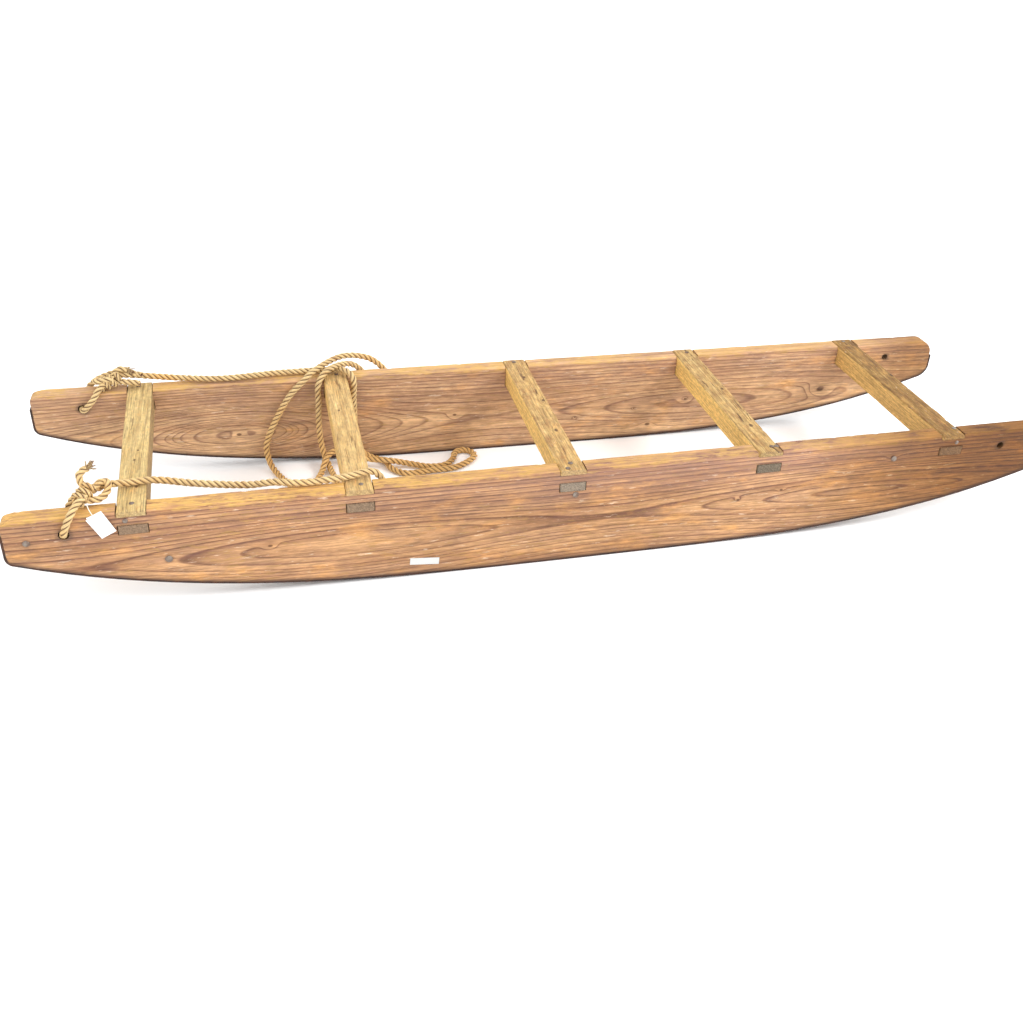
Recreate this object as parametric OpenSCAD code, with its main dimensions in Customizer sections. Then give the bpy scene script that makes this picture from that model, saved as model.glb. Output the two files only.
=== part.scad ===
// Old two-runner wooden sled with a straw pull rope.
// Two deep plank runners with curved bottom edges carry five crossbars. Each bar end is a fork:
// a thin lip lies in a notch across the plank's top edge, and a tenon goes through a mortise below it.
// Frame: +Z up, the nose and the rope at -X, the left runner at -Y. The origin is on the floor,
// under the middle of the sled. Lengths are in millimetres.

/* [Sled] */
// Distance between the centres of neighbouring crossbars
bar_pitch = 360; // [300:1:460]
// Width over the runners at the front crossbar
front_width = 476; // [380:1:620]
// Width over the runners at the rear crossbar
rear_width = 446; // [360:1:600]
// Height from the floor to the planks' top edge, at the middle
sled_h = 180; // [150:1:240]

/* [Runner planks] */
// Thickness of a plank
runner_t = 35; // [24:0.5:50]
// How much higher the bottom edge is at the ends than at the middle
end_rise = 103; // [60:1:125]
// Power of the bottom curve, where a higher one is flatter at the middle
rocker_power = 3.2; // [2:0.1:4.5]
// How far the left plank's nose stands in front of crossbar 1
front_overhang = 188; // [130:1:260]
// How far the left plank's tail stands behind crossbar 5
rear_overhang = 212; // [150:1:280]
// How far the right plank lies ahead of the left one
right_lead = 12; // [0:1:25]
// Radius of the nose's lower corner
nose_r = 14; // [6:1:20]
// Depth of the wear on the nose's top corner
nose_wear = 7; // [0.5:0.5:12]
// Length of the wear on the nose's top corner
nose_wear_run = 22; // [5:1:40]
// Radius of the tail's lower corner
tail_r = 26; // [10:1:28]
// Radius of the tail's top corner
tail_top_r = 30; // [6:1:32]

/* [Crossbars] */
// Width of a crossbar
bar_w = 46; // [30:1:70]
// Thickness of the lip that lies in the plank's top edge
lip_t = 8; // [5:0.5:14]
// Height of plank wood between the lip and the tenon
bridge_h = 15.6; // [10:0.1:24]
// Height of the tenon that goes through the plank
tenon_h = 17.6; // [10:0.1:26]
// How far the bar ends stand out of the planks
end_proud = 2; // [0.5:0.1:5]
// Turn of the crooked front crossbar, in degrees
front_bar_turn = 1.2; // [0:0.1:3]

/* [Fits] */
// Gap on each side of a tenon in its mortise
tenon_gap = 0.8; // [0.3:0.1:2]
// Gap on each side of a lip in its notch
lip_gap = 0.5; // [0.2:0.1:2]
// Gap above a tenon, and between a bar's fork and the plank
fork_gap = 0.3; // [0.1:0.1:1]

/* [Iron shoes] */
// Thickness of the iron strip
shoe_t = 3; // [1.5:0.1:5]
// Width of the iron strip
shoe_w = 33; // [18:0.5:34]
// Distance from the planks' top edge down to the strip's front end
shoe_nose_drop = 26; // [16:1:40]
// Distance from the planks' top edge down to the strip's rear end
shoe_tail_drop = 34; // [33:1:45]

/* [Rope holes] */
// Diameter of the front holes, which hold the pull rope
front_hole_d = 17; // [14:0.5:24]
// Diameter of the rear holes
rear_hole_d = 13; // [8:0.5:20]
// Depth of the holes below the planks' top edge
hole_drop = 31; // [20:1:40]
// Distance from the nose to the front hole
front_hole_inset = 90; // [50:1:130]
// Distance from the tail to the rear hole
rear_hole_inset = 108; // [60:1:140]

/* [Nails] */
// Diameter of a nail's shank
shank_d = 3; // [2:0.1:5]
// Diameter of a lip nail's head
lip_head_d = 7; // [4:0.1:12]
// Diameter of a face nail's head
face_head_d = 10; // [6:0.1:14]
// Diameter of a shoe nail's sunk head
shoe_head_d = 8; // [5:0.1:12]
// Height that a nail's head stands proud
head_t = 1; // [0.5:0.1:2]
// Length of a lip nail
lip_nail_len = 22; // [16:1:40]
// Length of a nail that pins a bar end through the plank's face
pin_nail_len = 60; // [45:1:80]
// Length of a nail that stays within the plank
face_nail_len = 28; // [12:1:32]
// Rough distance between shoe nails
shoe_nail_pitch = 150; // [80:5:250]

/* [Rope and paper] */
// Diameter of the pull rope
rope_d = 12; // [8:0.5:12]
// Diameter of the knots' bodies
knot_d = 30; // [20:1:34]
// Width of the price tag
tag_w = 28; // [20:1:36]
// Length of the price tag
tag_l = 45; // [30:1:50]
// Thickness of the price tag's card
tag_t = 0.8; // [0.6:0.1:1.5]
// Diameter of the punched hole in the price tag
tag_hole_d = 2.8; // [2:0.1:5]
// Distance from the price tag's top edge to its hole
tag_hole_inset = 5; // [3:0.5:8]
// Diameter of the tag's thread
thread_d = 1.4; // [1:0.1:3]
// Length of the paper label on the left plank
label_l = 50; // [30:1:70]
// Width of the paper label
label_w = 13; // [9:1:18]
// Thickness of the paper label
label_t = 0.4; // [0.3:0.1:1]

/* [Hidden] */
$fn = 48;

LEFT = -1;
RIGHT = 1;
BARS = 5;
CUT = 5;          // how far a cutting shape runs past the wood
DOME = 0.6;       // width of a nail head's flat top, as a share of the head
WEAR_BREAK = 0.25; // where the worn nose corner steepens, as a share of its length
CURVE_STEP = 36;  // spacing of the points on the bottom curve
ARC_STEP = 15;    // angle between the points on a rounded corner

bar_h = lip_t + bridge_h + tenon_h;
span = (BARS - 1) * bar_pitch;
plank_len = front_overhang + span + rear_overhang;
toe = atan((front_width - rear_width) / 2 / span);
nose_x = -(front_overhang + right_lead + shoe_t) * cos(toe) - runner_t * sin(toe);
tail_x = (span + rear_overhang + shoe_t) * cos(toe);
mid_x = (nose_x + tail_x) / 2;

function bar_x(i) = (i - 1) * bar_pitch - mid_x;
function bar_turn(i) = i == 1 ? front_bar_turn : 0;
function bar_half(i) = (front_width + (rear_width - front_width) * (i - 1) / (BARS - 1)) / 2;

// Lip nails: crossbar, place along the sled from the bar's middle, place in from the plank's outer face
lip_nails_at_left = [[1, 1, 26], [2, 4, 20], [3, 1, 26], [3, -8, 9], [4, 9, 20], [4, 18, 20], [5, 15, 26]];
lip_nails_at_right = [[1, -2, 14], [2, 3, 18], [3, -1, 11], [4, 5, 16], [5, 1, 10]];
// Pin nails between lip and tenon: crossbar, place along the plank from the bar's middle
pin_nails_at_left = [[1, -5], [5, 9]];
pin_nails_at_right = [[1, -13], [5, 6]];
// Nails in the left plank's outer face: distance from its nose, depth below its top edge
face_nails_at = [[34, 40], [239, 94], [914, 48], [1515, 38]];

// The pull rope's route, from the left knot to the right one
rope_route = [
    // over crossbars 1 and 2, then down behind the left plank
    [-752, -168, 193], [-726, -158, 187], [-690, -154, 186], [-617, -168, 180], [-538, -182, 178],
    [-500, -196, 187], [-455, -206, 187], [-384, -199, 187], [-338, -193, 189], [-316, -185, 145],
    [-313, -172, 90], [-322, -140, 34], [-344, -97, 13], [-385, -32, 8], [-455, 75, 7],
    // up and over the right plank, a bight behind it, and down again
    [-498, 165, 10], [-506, 185, 23], [-507, 188, 55], [-457, 188, 153], [-424, 192, 185], [-411, 201, 194],
    [-357, 240, 205], [-327, 251, 203], [-290, 254, 191], [-260, 251, 160], [-250, 250, 118],
    [-257, 250, 100], [-274, 250, 93], [-291, 250, 100], [-305, 252, 160], [-331, 243, 188],
    [-382, 200, 196], [-399, 189, 177], [-402, 187, 135], [-404, 186, 80], [-400, 185, 34],
    // a turn on the floor, and on under crossbar 2
    [-391, 164, 10], [-384, 120, 7], [-379, 82, 7], [-386, 63, 7], [-403, 56, 7],
    [-420, 63, 7], [-427, 82, 7], [-416, 116, 7], [-406, 143, 8], [-392, 168, 28],
    [-370, 176, 35], [-340, 166, 24], [-310, 158, 19],
    // out along the floor and back
    [-273, 144, 20], [-240, 144, 11], [-192, 129, 7], [-160, 133, 7], [-142, 156, 7],
    [-135, 177, 7], [-119, 186, 7], [-103, 178, 7], [-98, 158, 7], [-140, 120, 7],
    [-194, 114, 7], [-246, 111, 7], [-270, 135, 7], [-279, 167, 7], [-306, 186, 9],
    // up past crossbar 2 and along the right plank's top edge
    [-327, 187, 30], [-334, 187, 135], [-333, 190, 182], [-344, 204, 192], [-366, 225, 187],
    [-401, 227, 187], [-480, 226, 187], [-582, 218, 187], [-660, 230, 189],
    [-715, 232, 196], [-745, 230, 201], [-767, 226, 204]];

// The left tie: down the inside, out through the hole, up the outside, a bow and a short end
tie_left_route = [
    [-790, -196, 199], [-806, -193, 190], [-818, -192, 172], [-823, -195, 156], [-824, -206, 149],
    [-824, -236, 149], [-822, -247, 156], [-815, -248, 173], [-806, -245, 187], [-796, -229, 195],
    [-780, -212, 194], [-760, -209, 192], [-749, -194, 196], [-747, -172, 204], [-755, -154, 206],
    [-769, -160, 204], [-784, -178, 208], [-792, -184, 218], [-793, -181, 227], [-785, -180, 232]];
tie_left_knot = [[-804, -216, 197], [-792, -202, 199], [-778, -190, 200]];
// The right tie, the same way round
tie_right_route = [
    [-790, 226, 200], [-806, 240, 192], [-822, 248, 176], [-832, 249, 160], [-836, 240, 149],
    [-836, 202, 149], [-832, 194, 151], [-822, 191, 160], [-812, 191, 174], [-806, 196, 188],
    [-796, 206, 198], [-776, 214, 202], [-752, 214, 201], [-730, 214, 196]];
tie_right_knot = [[-812, 212, 196], [-790, 216, 200], [-768, 222, 203]];

// The tag hangs by its thread in front of the left plank, turned a little
tag_middle = [-766, -241.4, 162];
tag_turn = 26;
thread_route = [
    [-783, -233, 197], [-780, -241, 192], [-777, -244, 186], [-774.5, -244, 180],
    [-773.7, -242.5, 177.8], [-773.7, -240.3, 177.7]];
// The label's middle: distance from the left plank's nose, and height
label_at = [652, 29];
label_turn = -5;

// ---- sweeping a tube along a route ----

function unit(v) = v / norm(v);
function along(path, i) = unit(path[min(i + 1, len(path) - 1)] - path[max(i - 1, 0)]);
function square_to(v, dir) = unit(v - dir * (v * dir));
function ring(centre, dir, side, r, sides) =
    let(other = cross(dir, side))
    [for (k = [0 : sides - 1]) centre + r * (side * cos(k * 360 / sides) + other * sin(k * 360 / sides))];

module tube(path, d, sides = 8) {
    last = len(path) - 1;
    start = cross(along(path, 0), [0, 0, 1]);
    rings = [for (i = 0, side = square_to(start, along(path, 0)); i <= last;
        i = i + 1, side = square_to(side, along(path, min(i, last))))
        ring(path[i], along(path, i), side, d / 2, sides)];
    corners = [for (one = rings) each one];
    walls = [for (i = [0 : last - 1]) for (k = [0 : sides - 1])
        let(a = i * sides, b = a + sides, m = (k + 1) % sides)
        each [[a + k, b + k, a + m], [a + m, b + k, b + m]]];
    caps = [[for (k = [0 : sides - 1]) k], [for (k = [sides - 1 : -1 : 0]) last * sides + k]];
    polyhedron(points = corners, faces = concat(walls, caps));
}

// ---- the planks' side outline ----

// Slope angle of the bottom curve at an end
end_slope = atan(end_rise * rocker_power / (plank_len / 2));

function curve_z(x) = shoe_t + end_rise * pow(abs(2 * x / plank_len - 1), rocker_power);
function curve_angle(x) =
    let(from_mid = 2 * x / plank_len - 1)
    sign(from_mid) * atan(end_rise * rocker_power * pow(abs(from_mid), rocker_power - 1) / (plank_len / 2));
function corner_z(r) = curve_z(0) - r * tan(end_slope) + r / cos(end_slope);

// Points of the plank's lower edge from nose to tail, moved outwards by a distance
function nose_arc(out) =
    [for (a = [180 : ARC_STEP : 270 - end_slope])
        [nose_r, corner_z(nose_r)] + (nose_r + out) * [cos(a), sin(a)]];
function bottom_curve(out) =
    let(count = ceil((plank_len - nose_r - tail_r) / CURVE_STEP))
    [for (i = [1 : count - 1])
        let(x = nose_r + i * (plank_len - nose_r - tail_r) / count)
        [x, curve_z(x)] + out * [sin(curve_angle(x)), -cos(curve_angle(x))]];
function tail_arc(out) =
    [for (a = [270 + end_slope : ARC_STEP : 360])
        [plank_len - tail_r, corner_z(tail_r)] + (tail_r + out) * [cos(a), sin(a)]];
function lower_edge(out) = concat(
    [[-out, sled_h - shoe_nose_drop]],
    nose_arc(out), bottom_curve(out), tail_arc(out),
    [[plank_len + out, sled_h - shoe_tail_drop]]);
function tail_top() =
    [for (a = [0 : ARC_STEP : 90])
        [plank_len - tail_top_r, sled_h - tail_top_r] + tail_top_r * [cos(a), sin(a)]];

module plank_outline() polygon(concat(
    [[nose_wear_run, sled_h], [nose_wear_run * WEAR_BREAK, sled_h - nose_wear / 2], [0, sled_h - nose_wear]],
    lower_edge(0), tail_top()));

// ---- placing things on a plank or a bar ----

function overhang(side) = front_overhang + (side == RIGHT ? right_lead : 0);
function on_plank_bar(side, i) = overhang(side) + (i - 1) * bar_pitch / cos(toe);

// A plank's own frame: X along it from its nose, Y = 0 on its outer face
module on_plank(side)
    translate([-mid_x, side * front_width / 2, 0]) rotate([0, 0, -side * toe])
        translate([-overhang(side), 0, 0]) children();

// A flat shape in X and Z made solid, from a depth inside the outer face to a deeper one
module inward(side, from, to)
    translate([0, side == LEFT ? to : -from, 0]) rotate([90, 0, 0]) linear_extrude(to - from) children();

// The frame of a crossbar: its middle, on the floor
module at_bar(i) translate([bar_x(i), 0, 0]) rotate([0, 0, bar_turn(i)]) children();

// A box across the whole sled at a crossbar, from one depth below the top edge to another
module across(i, width, top, bottom, reach)
    at_bar(i) translate([-width / 2, -reach, sled_h - bottom]) cube([width, 2 * reach, bottom - top]);

// ---- nails ----

// A nail along +Z with its domed head on Z = 0, driven down
module nail(head_d, length) {
    translate([0, 0, -length]) cylinder(h = length, d = shank_d);
    cylinder(h = head_t, d1 = head_d, d2 = head_d * DOME);
}

// Shank holes for a nail, past its point
module nail_hole(length) translate([0, 0, -length]) cylinder(h = length + CUT, d = shank_d);

module at_lip_nail(side, spot)
    at_bar(spot[0]) translate([spot[1], side * (bar_half(spot[0]) - spot[2]), sled_h]) children();

module at_pin_nail(side, spot)
    on_plank(side)
        translate([on_plank_bar(side, spot[0]) + spot[1], 0, sled_h - lip_t - bridge_h / 2])
            rotate([-side * 90, 0, 0]) children();

module at_face_nail(spot)
    on_plank(LEFT) translate([spot[0], 0, sled_h - spot[1]]) rotate([90, 0, 0]) children();

function lip_spots(side) = side == LEFT ? lip_nails_at_left : lip_nails_at_right;
function pin_spots(side) = side == LEFT ? pin_nails_at_left : pin_nails_at_right;

// Shoe nails stand square on the middle of every few facets of the strip's outer edge
module at_shoe_nails(side) {
    outer = lower_edge(shoe_t);
    every = max(1, round(shoe_nail_pitch / CURVE_STEP));
    first = len(nose_arc(0)) + 1;
    last = len(nose_arc(0)) + len(bottom_curve(0)) - 1;
    for (i = [first : every : last]) {
        a = outer[i];
        b = outer[i + 1];
        on_plank(side)
            translate([(a[0] + b[0]) / 2, -side * runner_t / 2, (a[1] + b[1]) / 2])
                rotate([0, 180 - atan2(b[1] - a[1], b[0] - a[0]), 0]) children();
    }
}

module sunk_nail() {
    translate([0, 0, -face_nail_len]) cylinder(h = face_nail_len - shoe_t, d = shank_d);
    translate([0, 0, -shoe_t]) cylinder(h = shoe_t, d1 = shank_d, d2 = shoe_head_d);
}

// ---- sub-parts ----

module rope_holes(side) on_plank(side) {
    translate([front_hole_inset, 0, sled_h - hole_drop]) rotate([90, 0, 0])
        cylinder(h = 2 * (runner_t + CUT), d = front_hole_d, center = true);
    translate([plank_len - rear_hole_inset, 0, sled_h - hole_drop]) rotate([90, 0, 0])
        cylinder(h = 2 * (runner_t + CUT), d = rear_hole_d, center = true);
}

module runner(side) difference() {
    on_plank(side) inward(side, 0, runner_t) plank_outline();
    for (i = [1 : BARS]) {
        across(i, bar_w + 2 * lip_gap, -CUT, lip_t, front_width);
        across(i, bar_w + 2 * tenon_gap, lip_t + bridge_h, bar_h, front_width);
    }
    rope_holes(side);
    for (spot = lip_spots(side)) at_lip_nail(side, spot) nail_hole(lip_nail_len);
    for (spot = pin_spots(side)) at_pin_nail(side, spot) nail_hole(pin_nail_len);
    if (side == LEFT) for (spot = face_nails_at) at_face_nail(spot) nail_hole(face_nail_len);
    at_shoe_nails(side) nail_hole(face_nail_len);
}

module crossbar(i) color([0.84, 0.71, 0.46]) difference() {
    across(i, bar_w, 0, bar_h, bar_half(i) + end_proud);
    for (side = [LEFT, RIGHT]) {
        // the fork's slot, cut parallel to the plank that fills it
        on_plank(side) inward(side, -end_proud - CUT, runner_t + fork_gap)
            translate([0, sled_h - lip_t - bridge_h - fork_gap])
                square([plank_len, bridge_h + fork_gap]);
        for (spot = lip_spots(side)) if (spot[0] == i) at_lip_nail(side, spot) nail_hole(lip_nail_len);
        for (spot = pin_spots(side)) if (spot[0] == i) at_pin_nail(side, spot) nail_hole(pin_nail_len);
    }
}

module shoe(side) color([0.24, 0.19, 0.17]) difference() {
    edge = (runner_t - shoe_w) / 2;
    on_plank(side) inward(side, edge, edge + shoe_w)
        polygon(concat(lower_edge(shoe_t), [for (i = [len(lower_edge(0)) - 1 : -1 : 0]) lower_edge(0)[i]]));
    at_shoe_nails(side) sunk_nail();
}

module runner_left() color([0.72, 0.50, 0.37]) runner(LEFT);
module runner_right() color([0.72, 0.50, 0.37]) runner(RIGHT);
module shoe_nails(side) color([0.18, 0.15, 0.14]) at_shoe_nails(side) sunk_nail();
module lip_nails(side) color([0.45, 0.40, 0.37])
    for (spot = lip_spots(side)) at_lip_nail(side, spot) nail(lip_head_d, lip_nail_len);
module pin_nails(side) color([0.20, 0.17, 0.15])
    for (spot = pin_spots(side)) at_pin_nail(side, spot) nail(lip_head_d, pin_nail_len);
module face_nails_left() color([0.40, 0.35, 0.32])
    for (spot = face_nails_at) at_face_nail(spot) nail(face_head_d, face_nail_len);

module pull_rope() color([0.84, 0.71, 0.42]) tube(rope_route, rope_d);
module rope_tie_left() color([0.84, 0.71, 0.42]) {
    tube(tie_left_route, rope_d);
    tube(tie_left_knot, knot_d);
}
module rope_tie_right() color([0.84, 0.71, 0.42]) {
    tube(tie_right_route, rope_d);
    tube(tie_right_knot, knot_d);
}

module in_tag() translate(tag_middle) rotate([90, 0, 0]) rotate([0, 0, tag_turn]) children();
module price_tag() color([0.96, 0.96, 0.94]) difference() {
    in_tag() linear_extrude(tag_t) square([tag_w, tag_l], center = true);
    in_tag() translate([0, tag_l / 2 - tag_hole_inset, -CUT]) cylinder(h = 2 * CUT, d = tag_hole_d);
}
module tag_thread() color([0.90, 0.88, 0.82]) tube(thread_route, thread_d);

module paper_label() color([0.93, 0.93, 0.90])
    on_plank(LEFT) inward(LEFT, -label_t, 0)
        translate(label_at) rotate(label_turn) square([label_l, label_w], center = true);

runner_left();
runner_right();
crossbar(1);  // crossbar_1
crossbar(2);  // crossbar_2
crossbar(3);  // crossbar_3
crossbar(4);  // crossbar_4
crossbar(5);  // crossbar_5
shoe(LEFT);  // shoe_left
shoe(RIGHT);  // shoe_right
shoe_nails(LEFT);  // shoe_nails_left
shoe_nails(RIGHT);  // shoe_nails_right
lip_nails(LEFT);  // lip_nails_left
lip_nails(RIGHT);  // lip_nails_right
pin_nails(LEFT);  // pin_nails_left
pin_nails(RIGHT);  // pin_nails_right
face_nails_left();
pull_rope();
rope_tie_left();
rope_tie_right();
tag_thread();
price_tag();
paper_label();
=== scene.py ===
import math
import random

import bmesh
import bpy
from mathutils import Matrix, Vector, noise


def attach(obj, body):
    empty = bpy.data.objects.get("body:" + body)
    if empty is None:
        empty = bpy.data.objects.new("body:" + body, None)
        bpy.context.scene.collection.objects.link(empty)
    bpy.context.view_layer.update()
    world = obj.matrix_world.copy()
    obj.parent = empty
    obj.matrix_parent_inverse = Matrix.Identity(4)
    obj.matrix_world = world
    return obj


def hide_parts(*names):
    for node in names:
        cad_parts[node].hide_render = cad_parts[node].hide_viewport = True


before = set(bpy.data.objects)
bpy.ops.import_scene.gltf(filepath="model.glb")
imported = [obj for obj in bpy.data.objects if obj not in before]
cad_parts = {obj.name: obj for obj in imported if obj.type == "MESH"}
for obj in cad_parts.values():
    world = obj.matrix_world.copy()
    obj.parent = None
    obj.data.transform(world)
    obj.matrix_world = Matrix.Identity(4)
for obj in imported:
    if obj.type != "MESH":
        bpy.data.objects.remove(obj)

bl_info = {
    "name": "Old Wooden Sled",
    "version": (1, 0, 0),
    "blender": (4, 5, 0),
    "location": "3D View > Sidebar > Sled",
    "description": "Builds an old two-runner wooden sled with a straw pull rope",
    "category": "Object",
}

MM = 0.001
LEFT, RIGHT = -1, 1
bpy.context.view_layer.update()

# The sled's own sizes in millimetres, the same as in the CAD model
BARS = 5
BAR_PITCH = 360.0
FRONT_WIDTH, REAR_WIDTH = 476.0, 446.0
SLED_H = 180.0
RUNNER_T = 35.0
END_RISE, ROCKER_POWER = 103.0, 3.2
FRONT_OVERHANG, REAR_OVERHANG, RIGHT_LEAD = 188.0, 212.0, 12.0
NOSE_R, NOSE_WEAR, NOSE_WEAR_RUN = 14.0, 7.0, 22.0
TAIL_R, TAIL_TOP_R = 26.0, 30.0
BAR_W, LIP_T, BRIDGE_H, TENON_H, END_PROUD = 46.0, 8.0, 15.6, 17.6, 2.0
FRONT_BAR_TURN = math.radians(1.2)
TENON_GAP, LIP_GAP, FORK_GAP = 0.8, 0.5, 0.3
SHOE_T = 3.0
FRONT_HOLE_D, REAR_HOLE_D, HOLE_DROP = 17.0, 13.0, 31.0
FRONT_HOLE_INSET, REAR_HOLE_INSET = 90.0, 108.0

SPAN = (BARS - 1) * BAR_PITCH
PLANK_LEN = FRONT_OVERHANG + SPAN + REAR_OVERHANG
BAR_H = LIP_T + BRIDGE_H + TENON_H
TOE = math.atan((FRONT_WIDTH - REAR_WIDTH) / 2 / SPAN)
NOSE_X = -(FRONT_OVERHANG + RIGHT_LEAD + SHOE_T) * math.cos(TOE) - RUNNER_T * math.sin(TOE)
MID_X = (NOSE_X + (SPAN + REAR_OVERHANG + SHOE_T) * math.cos(TOE)) / 2

# The pull rope's route, from the left knot to the right one
ROPE_ROUTE = [
    (-752, -168, 193), (-726, -158, 187), (-690, -154, 186), (-617, -168, 180), (-538, -182, 178),
    (-500, -196, 187), (-455, -206, 187), (-384, -199, 187), (-338, -193, 189), (-316, -185, 145),
    (-313, -172, 90), (-322, -140, 34), (-344, -97, 13), (-385, -32, 8), (-455, 75, 7),
    (-498, 165, 10), (-506, 185, 23), (-507, 188, 55), (-457, 188, 153), (-424, 192, 185),
    (-411, 201, 194), (-357, 240, 205), (-327, 251, 203), (-290, 254, 191), (-260, 251, 160),
    (-250, 250, 118), (-257, 250, 100), (-274, 250, 93), (-291, 250, 100), (-305, 252, 160),
    (-331, 243, 188), (-382, 200, 196), (-399, 189, 177), (-402, 187, 135), (-404, 186, 80),
    (-400, 185, 34), (-391, 164, 10), (-384, 120, 7), (-379, 82, 7), (-386, 63, 7),
    (-403, 56, 7), (-420, 63, 7), (-427, 82, 7), (-416, 116, 7), (-406, 143, 8),
    (-392, 168, 28), (-370, 176, 35), (-340, 166, 24), (-310, 158, 19), (-273, 144, 20),
    (-240, 144, 11), (-192, 129, 7), (-160, 133, 7), (-142, 156, 7), (-135, 177, 7),
    (-119, 186, 7), (-103, 178, 7), (-98, 158, 7), (-140, 120, 7), (-194, 114, 7),
    (-246, 111, 7), (-270, 135, 7), (-279, 167, 7), (-306, 186, 9), (-327, 187, 30),
    (-334, 187, 135), (-333, 190, 182), (-344, 204, 192), (-366, 225, 187), (-401, 227, 187),
    (-480, 226, 187), (-582, 218, 187), (-660, 230, 189), (-715, 232, 196), (-745, 230, 201),
    (-767, 226, 204)]

# The left tie: a loop through the hole, a bow, and a short frayed end
LEFT_LOOP = [(-788, -204, 203), (-801, -194, 194), (-815, -192, 176), (-823, -195, 158), (-824, -206, 150),
    (-824, -236, 149), (-822, -247, 156), (-815, -249, 173), (-807, -245, 187), (-798, -229, 196),
    (-786, -211, 199)]
LEFT_BOW = [(-795, -212, 194), (-781, -211, 191), (-767, -207, 190), (-757, -197, 194), (-754, -184, 201),
    (-758, -178, 204), (-766, -182, 205), (-773, -191, 203), (-782, -199, 202), (-792, -205, 201)]
LEFT_END = [(-787, -200, 205), (-793, -189, 212), (-795, -183, 220), (-789, -180, 227), (-781, -179, 231)]
LEFT_JOIN = [(-751, -167.6, 192.8), (-762, -174, 193.5), (-773, -184, 195), (-784, -195, 196),
             (-793, -204, 197)]
LEFT_WRAP = ((-800, -218, 193), (-781, -194, 204))
# The right tie, the same way round
RIGHT_LOOP = [(-788, 228, 197), (-804, 240, 191), (-822, 249, 177), (-832, 249, 160), (-836, 240, 149),
    (-836, 202, 149), (-832, 193, 152), (-821, 190, 163), (-810, 192, 176), (-801, 198, 189),
    (-790, 208, 195), (-772, 214, 196), (-748, 213, 194), (-728, 214, 190)]
RIGHT_BIGHT = [(-772, 212, 203), (-789, 208, 203), (-804, 213, 199), (-808, 225, 196), (-797, 235, 198),
    (-780, 237, 203), (-758, 237, 207), (-738, 234, 202), (-724, 228, 200)]
RIGHT_END = [(-776, 222, 203), (-770, 226, 211), (-761, 227, 215), (-750, 228, 212)]
RIGHT_WRAP = ((-800, 211, 192), (-764, 220, 200))
# The turns round a tie's knot: how far out, how many, and how thick against the pull rope
WRAP_R, WRAP_TURNS, WRAP_SHARE = 9.5, 3.0, 0.72
TIE_SHARE = 0.95
ROUTE_STEP = 2.5
ROUTE_FINE = 24

# How far a strand's middle is from the rope's, and its own radius, as shares of the rope's diameter
STRANDS = 3
STRAND_OUT, STRAND_R = 0.262, 0.252
# A loose straw's length as such a share, and its two radii in metres
STRAW_LONG, STRAW_THICK, STRAW_THIN = 0.76, 0.0003, 0.00012
# Rope lies this far above the floor, in metres
FLOOR_GAP = 0.0004
FRAY_STRAWS, FRAY_LONG, FRAY_D = 16, 17.0, 0.0022

# Nail heads: the CAD head's height, and a dome's height against its diameter
HEAD_T = 1.0
DOME_SHARE = 0.17

# The hanging tag: its middle, its turn in degrees, and the two cards' sizes
TAG_MIDDLE = (-766.0, -241.4, 162.0)
TAG_TURN = 26.0
TAG_W, TAG_L = 28.0, 45.0
CARD_T, CARD_BOW = 0.35, 0.5
CARD_ROWS = 10

# Where the slices of a plank and a crossbar stand, counted from each end
PLANK_SLICES = [0.0, 0.5, 1.5, 3.0, 5.0, 8.0, 11.0, 15.0, 20.0, 26.0]
PLANK_SLICE_START, PLANK_SLICE_STEP = 32, 7
BAR_SLICES = [0.0, 0.6, 1.6, 3.0, 5.0]
BAR_SLICE_START, BAR_SLICE_STEP = 8, 6
# The planks lie this far to either side of the middle, which bounds the notch cutters
PLANK_ZONE = (150.0, 300.0)
ROD_LONG = 60.0
# The plank's own coordinate along its grain ends here, in millimetres
GRAIN_END = 930.0

# How much of the largest wear each crossbar has, from the front to the rear
BAR_WEAR = (0.5, 0.55, 0.9, 1.0, 1.0)
# Each crossbar's grime, the gains of its top, its sides (painted light, and painted shadow on the front
# crossbar) and its sawn ends, and its knots
BAR_LOOKS = [(0.30, (1.04, 1.22, 1.42), (0.40, 0.41, 0.60), (1.1, 1.05, 1.0),
              [(-69, -724, 4), (-35, -720, 4), (-160, -716, 5)]),
             (0.40, (1.05, 1.14, 1.27), (0.85, 0.85, 0.9), (1.04, 1.02, 0.98), [(60, -372, 4)]),
             (0.85, (0.96, 1.0, 1.03), (1.0, 1.0, 1.0), (1.1, 1.27, 1.47),
              [(-82, 2, 7), (40, 9, 6), (146, -3, 6)]),
             (0.9, (0.88, 0.93, 0.95), (1.0, 1.0, 1.0), (0.67, 0.76, 0.81),
              [(33, 366, 6), (-123, 360, 8), (125, 396, 6)]),
             (0.95, (0.53, 0.48, 0.34), (0.80, 0.77, 0.82), (0.69, 0.52, 0.34), [(37, 733, 8), (199, 715, 5)])]
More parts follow.
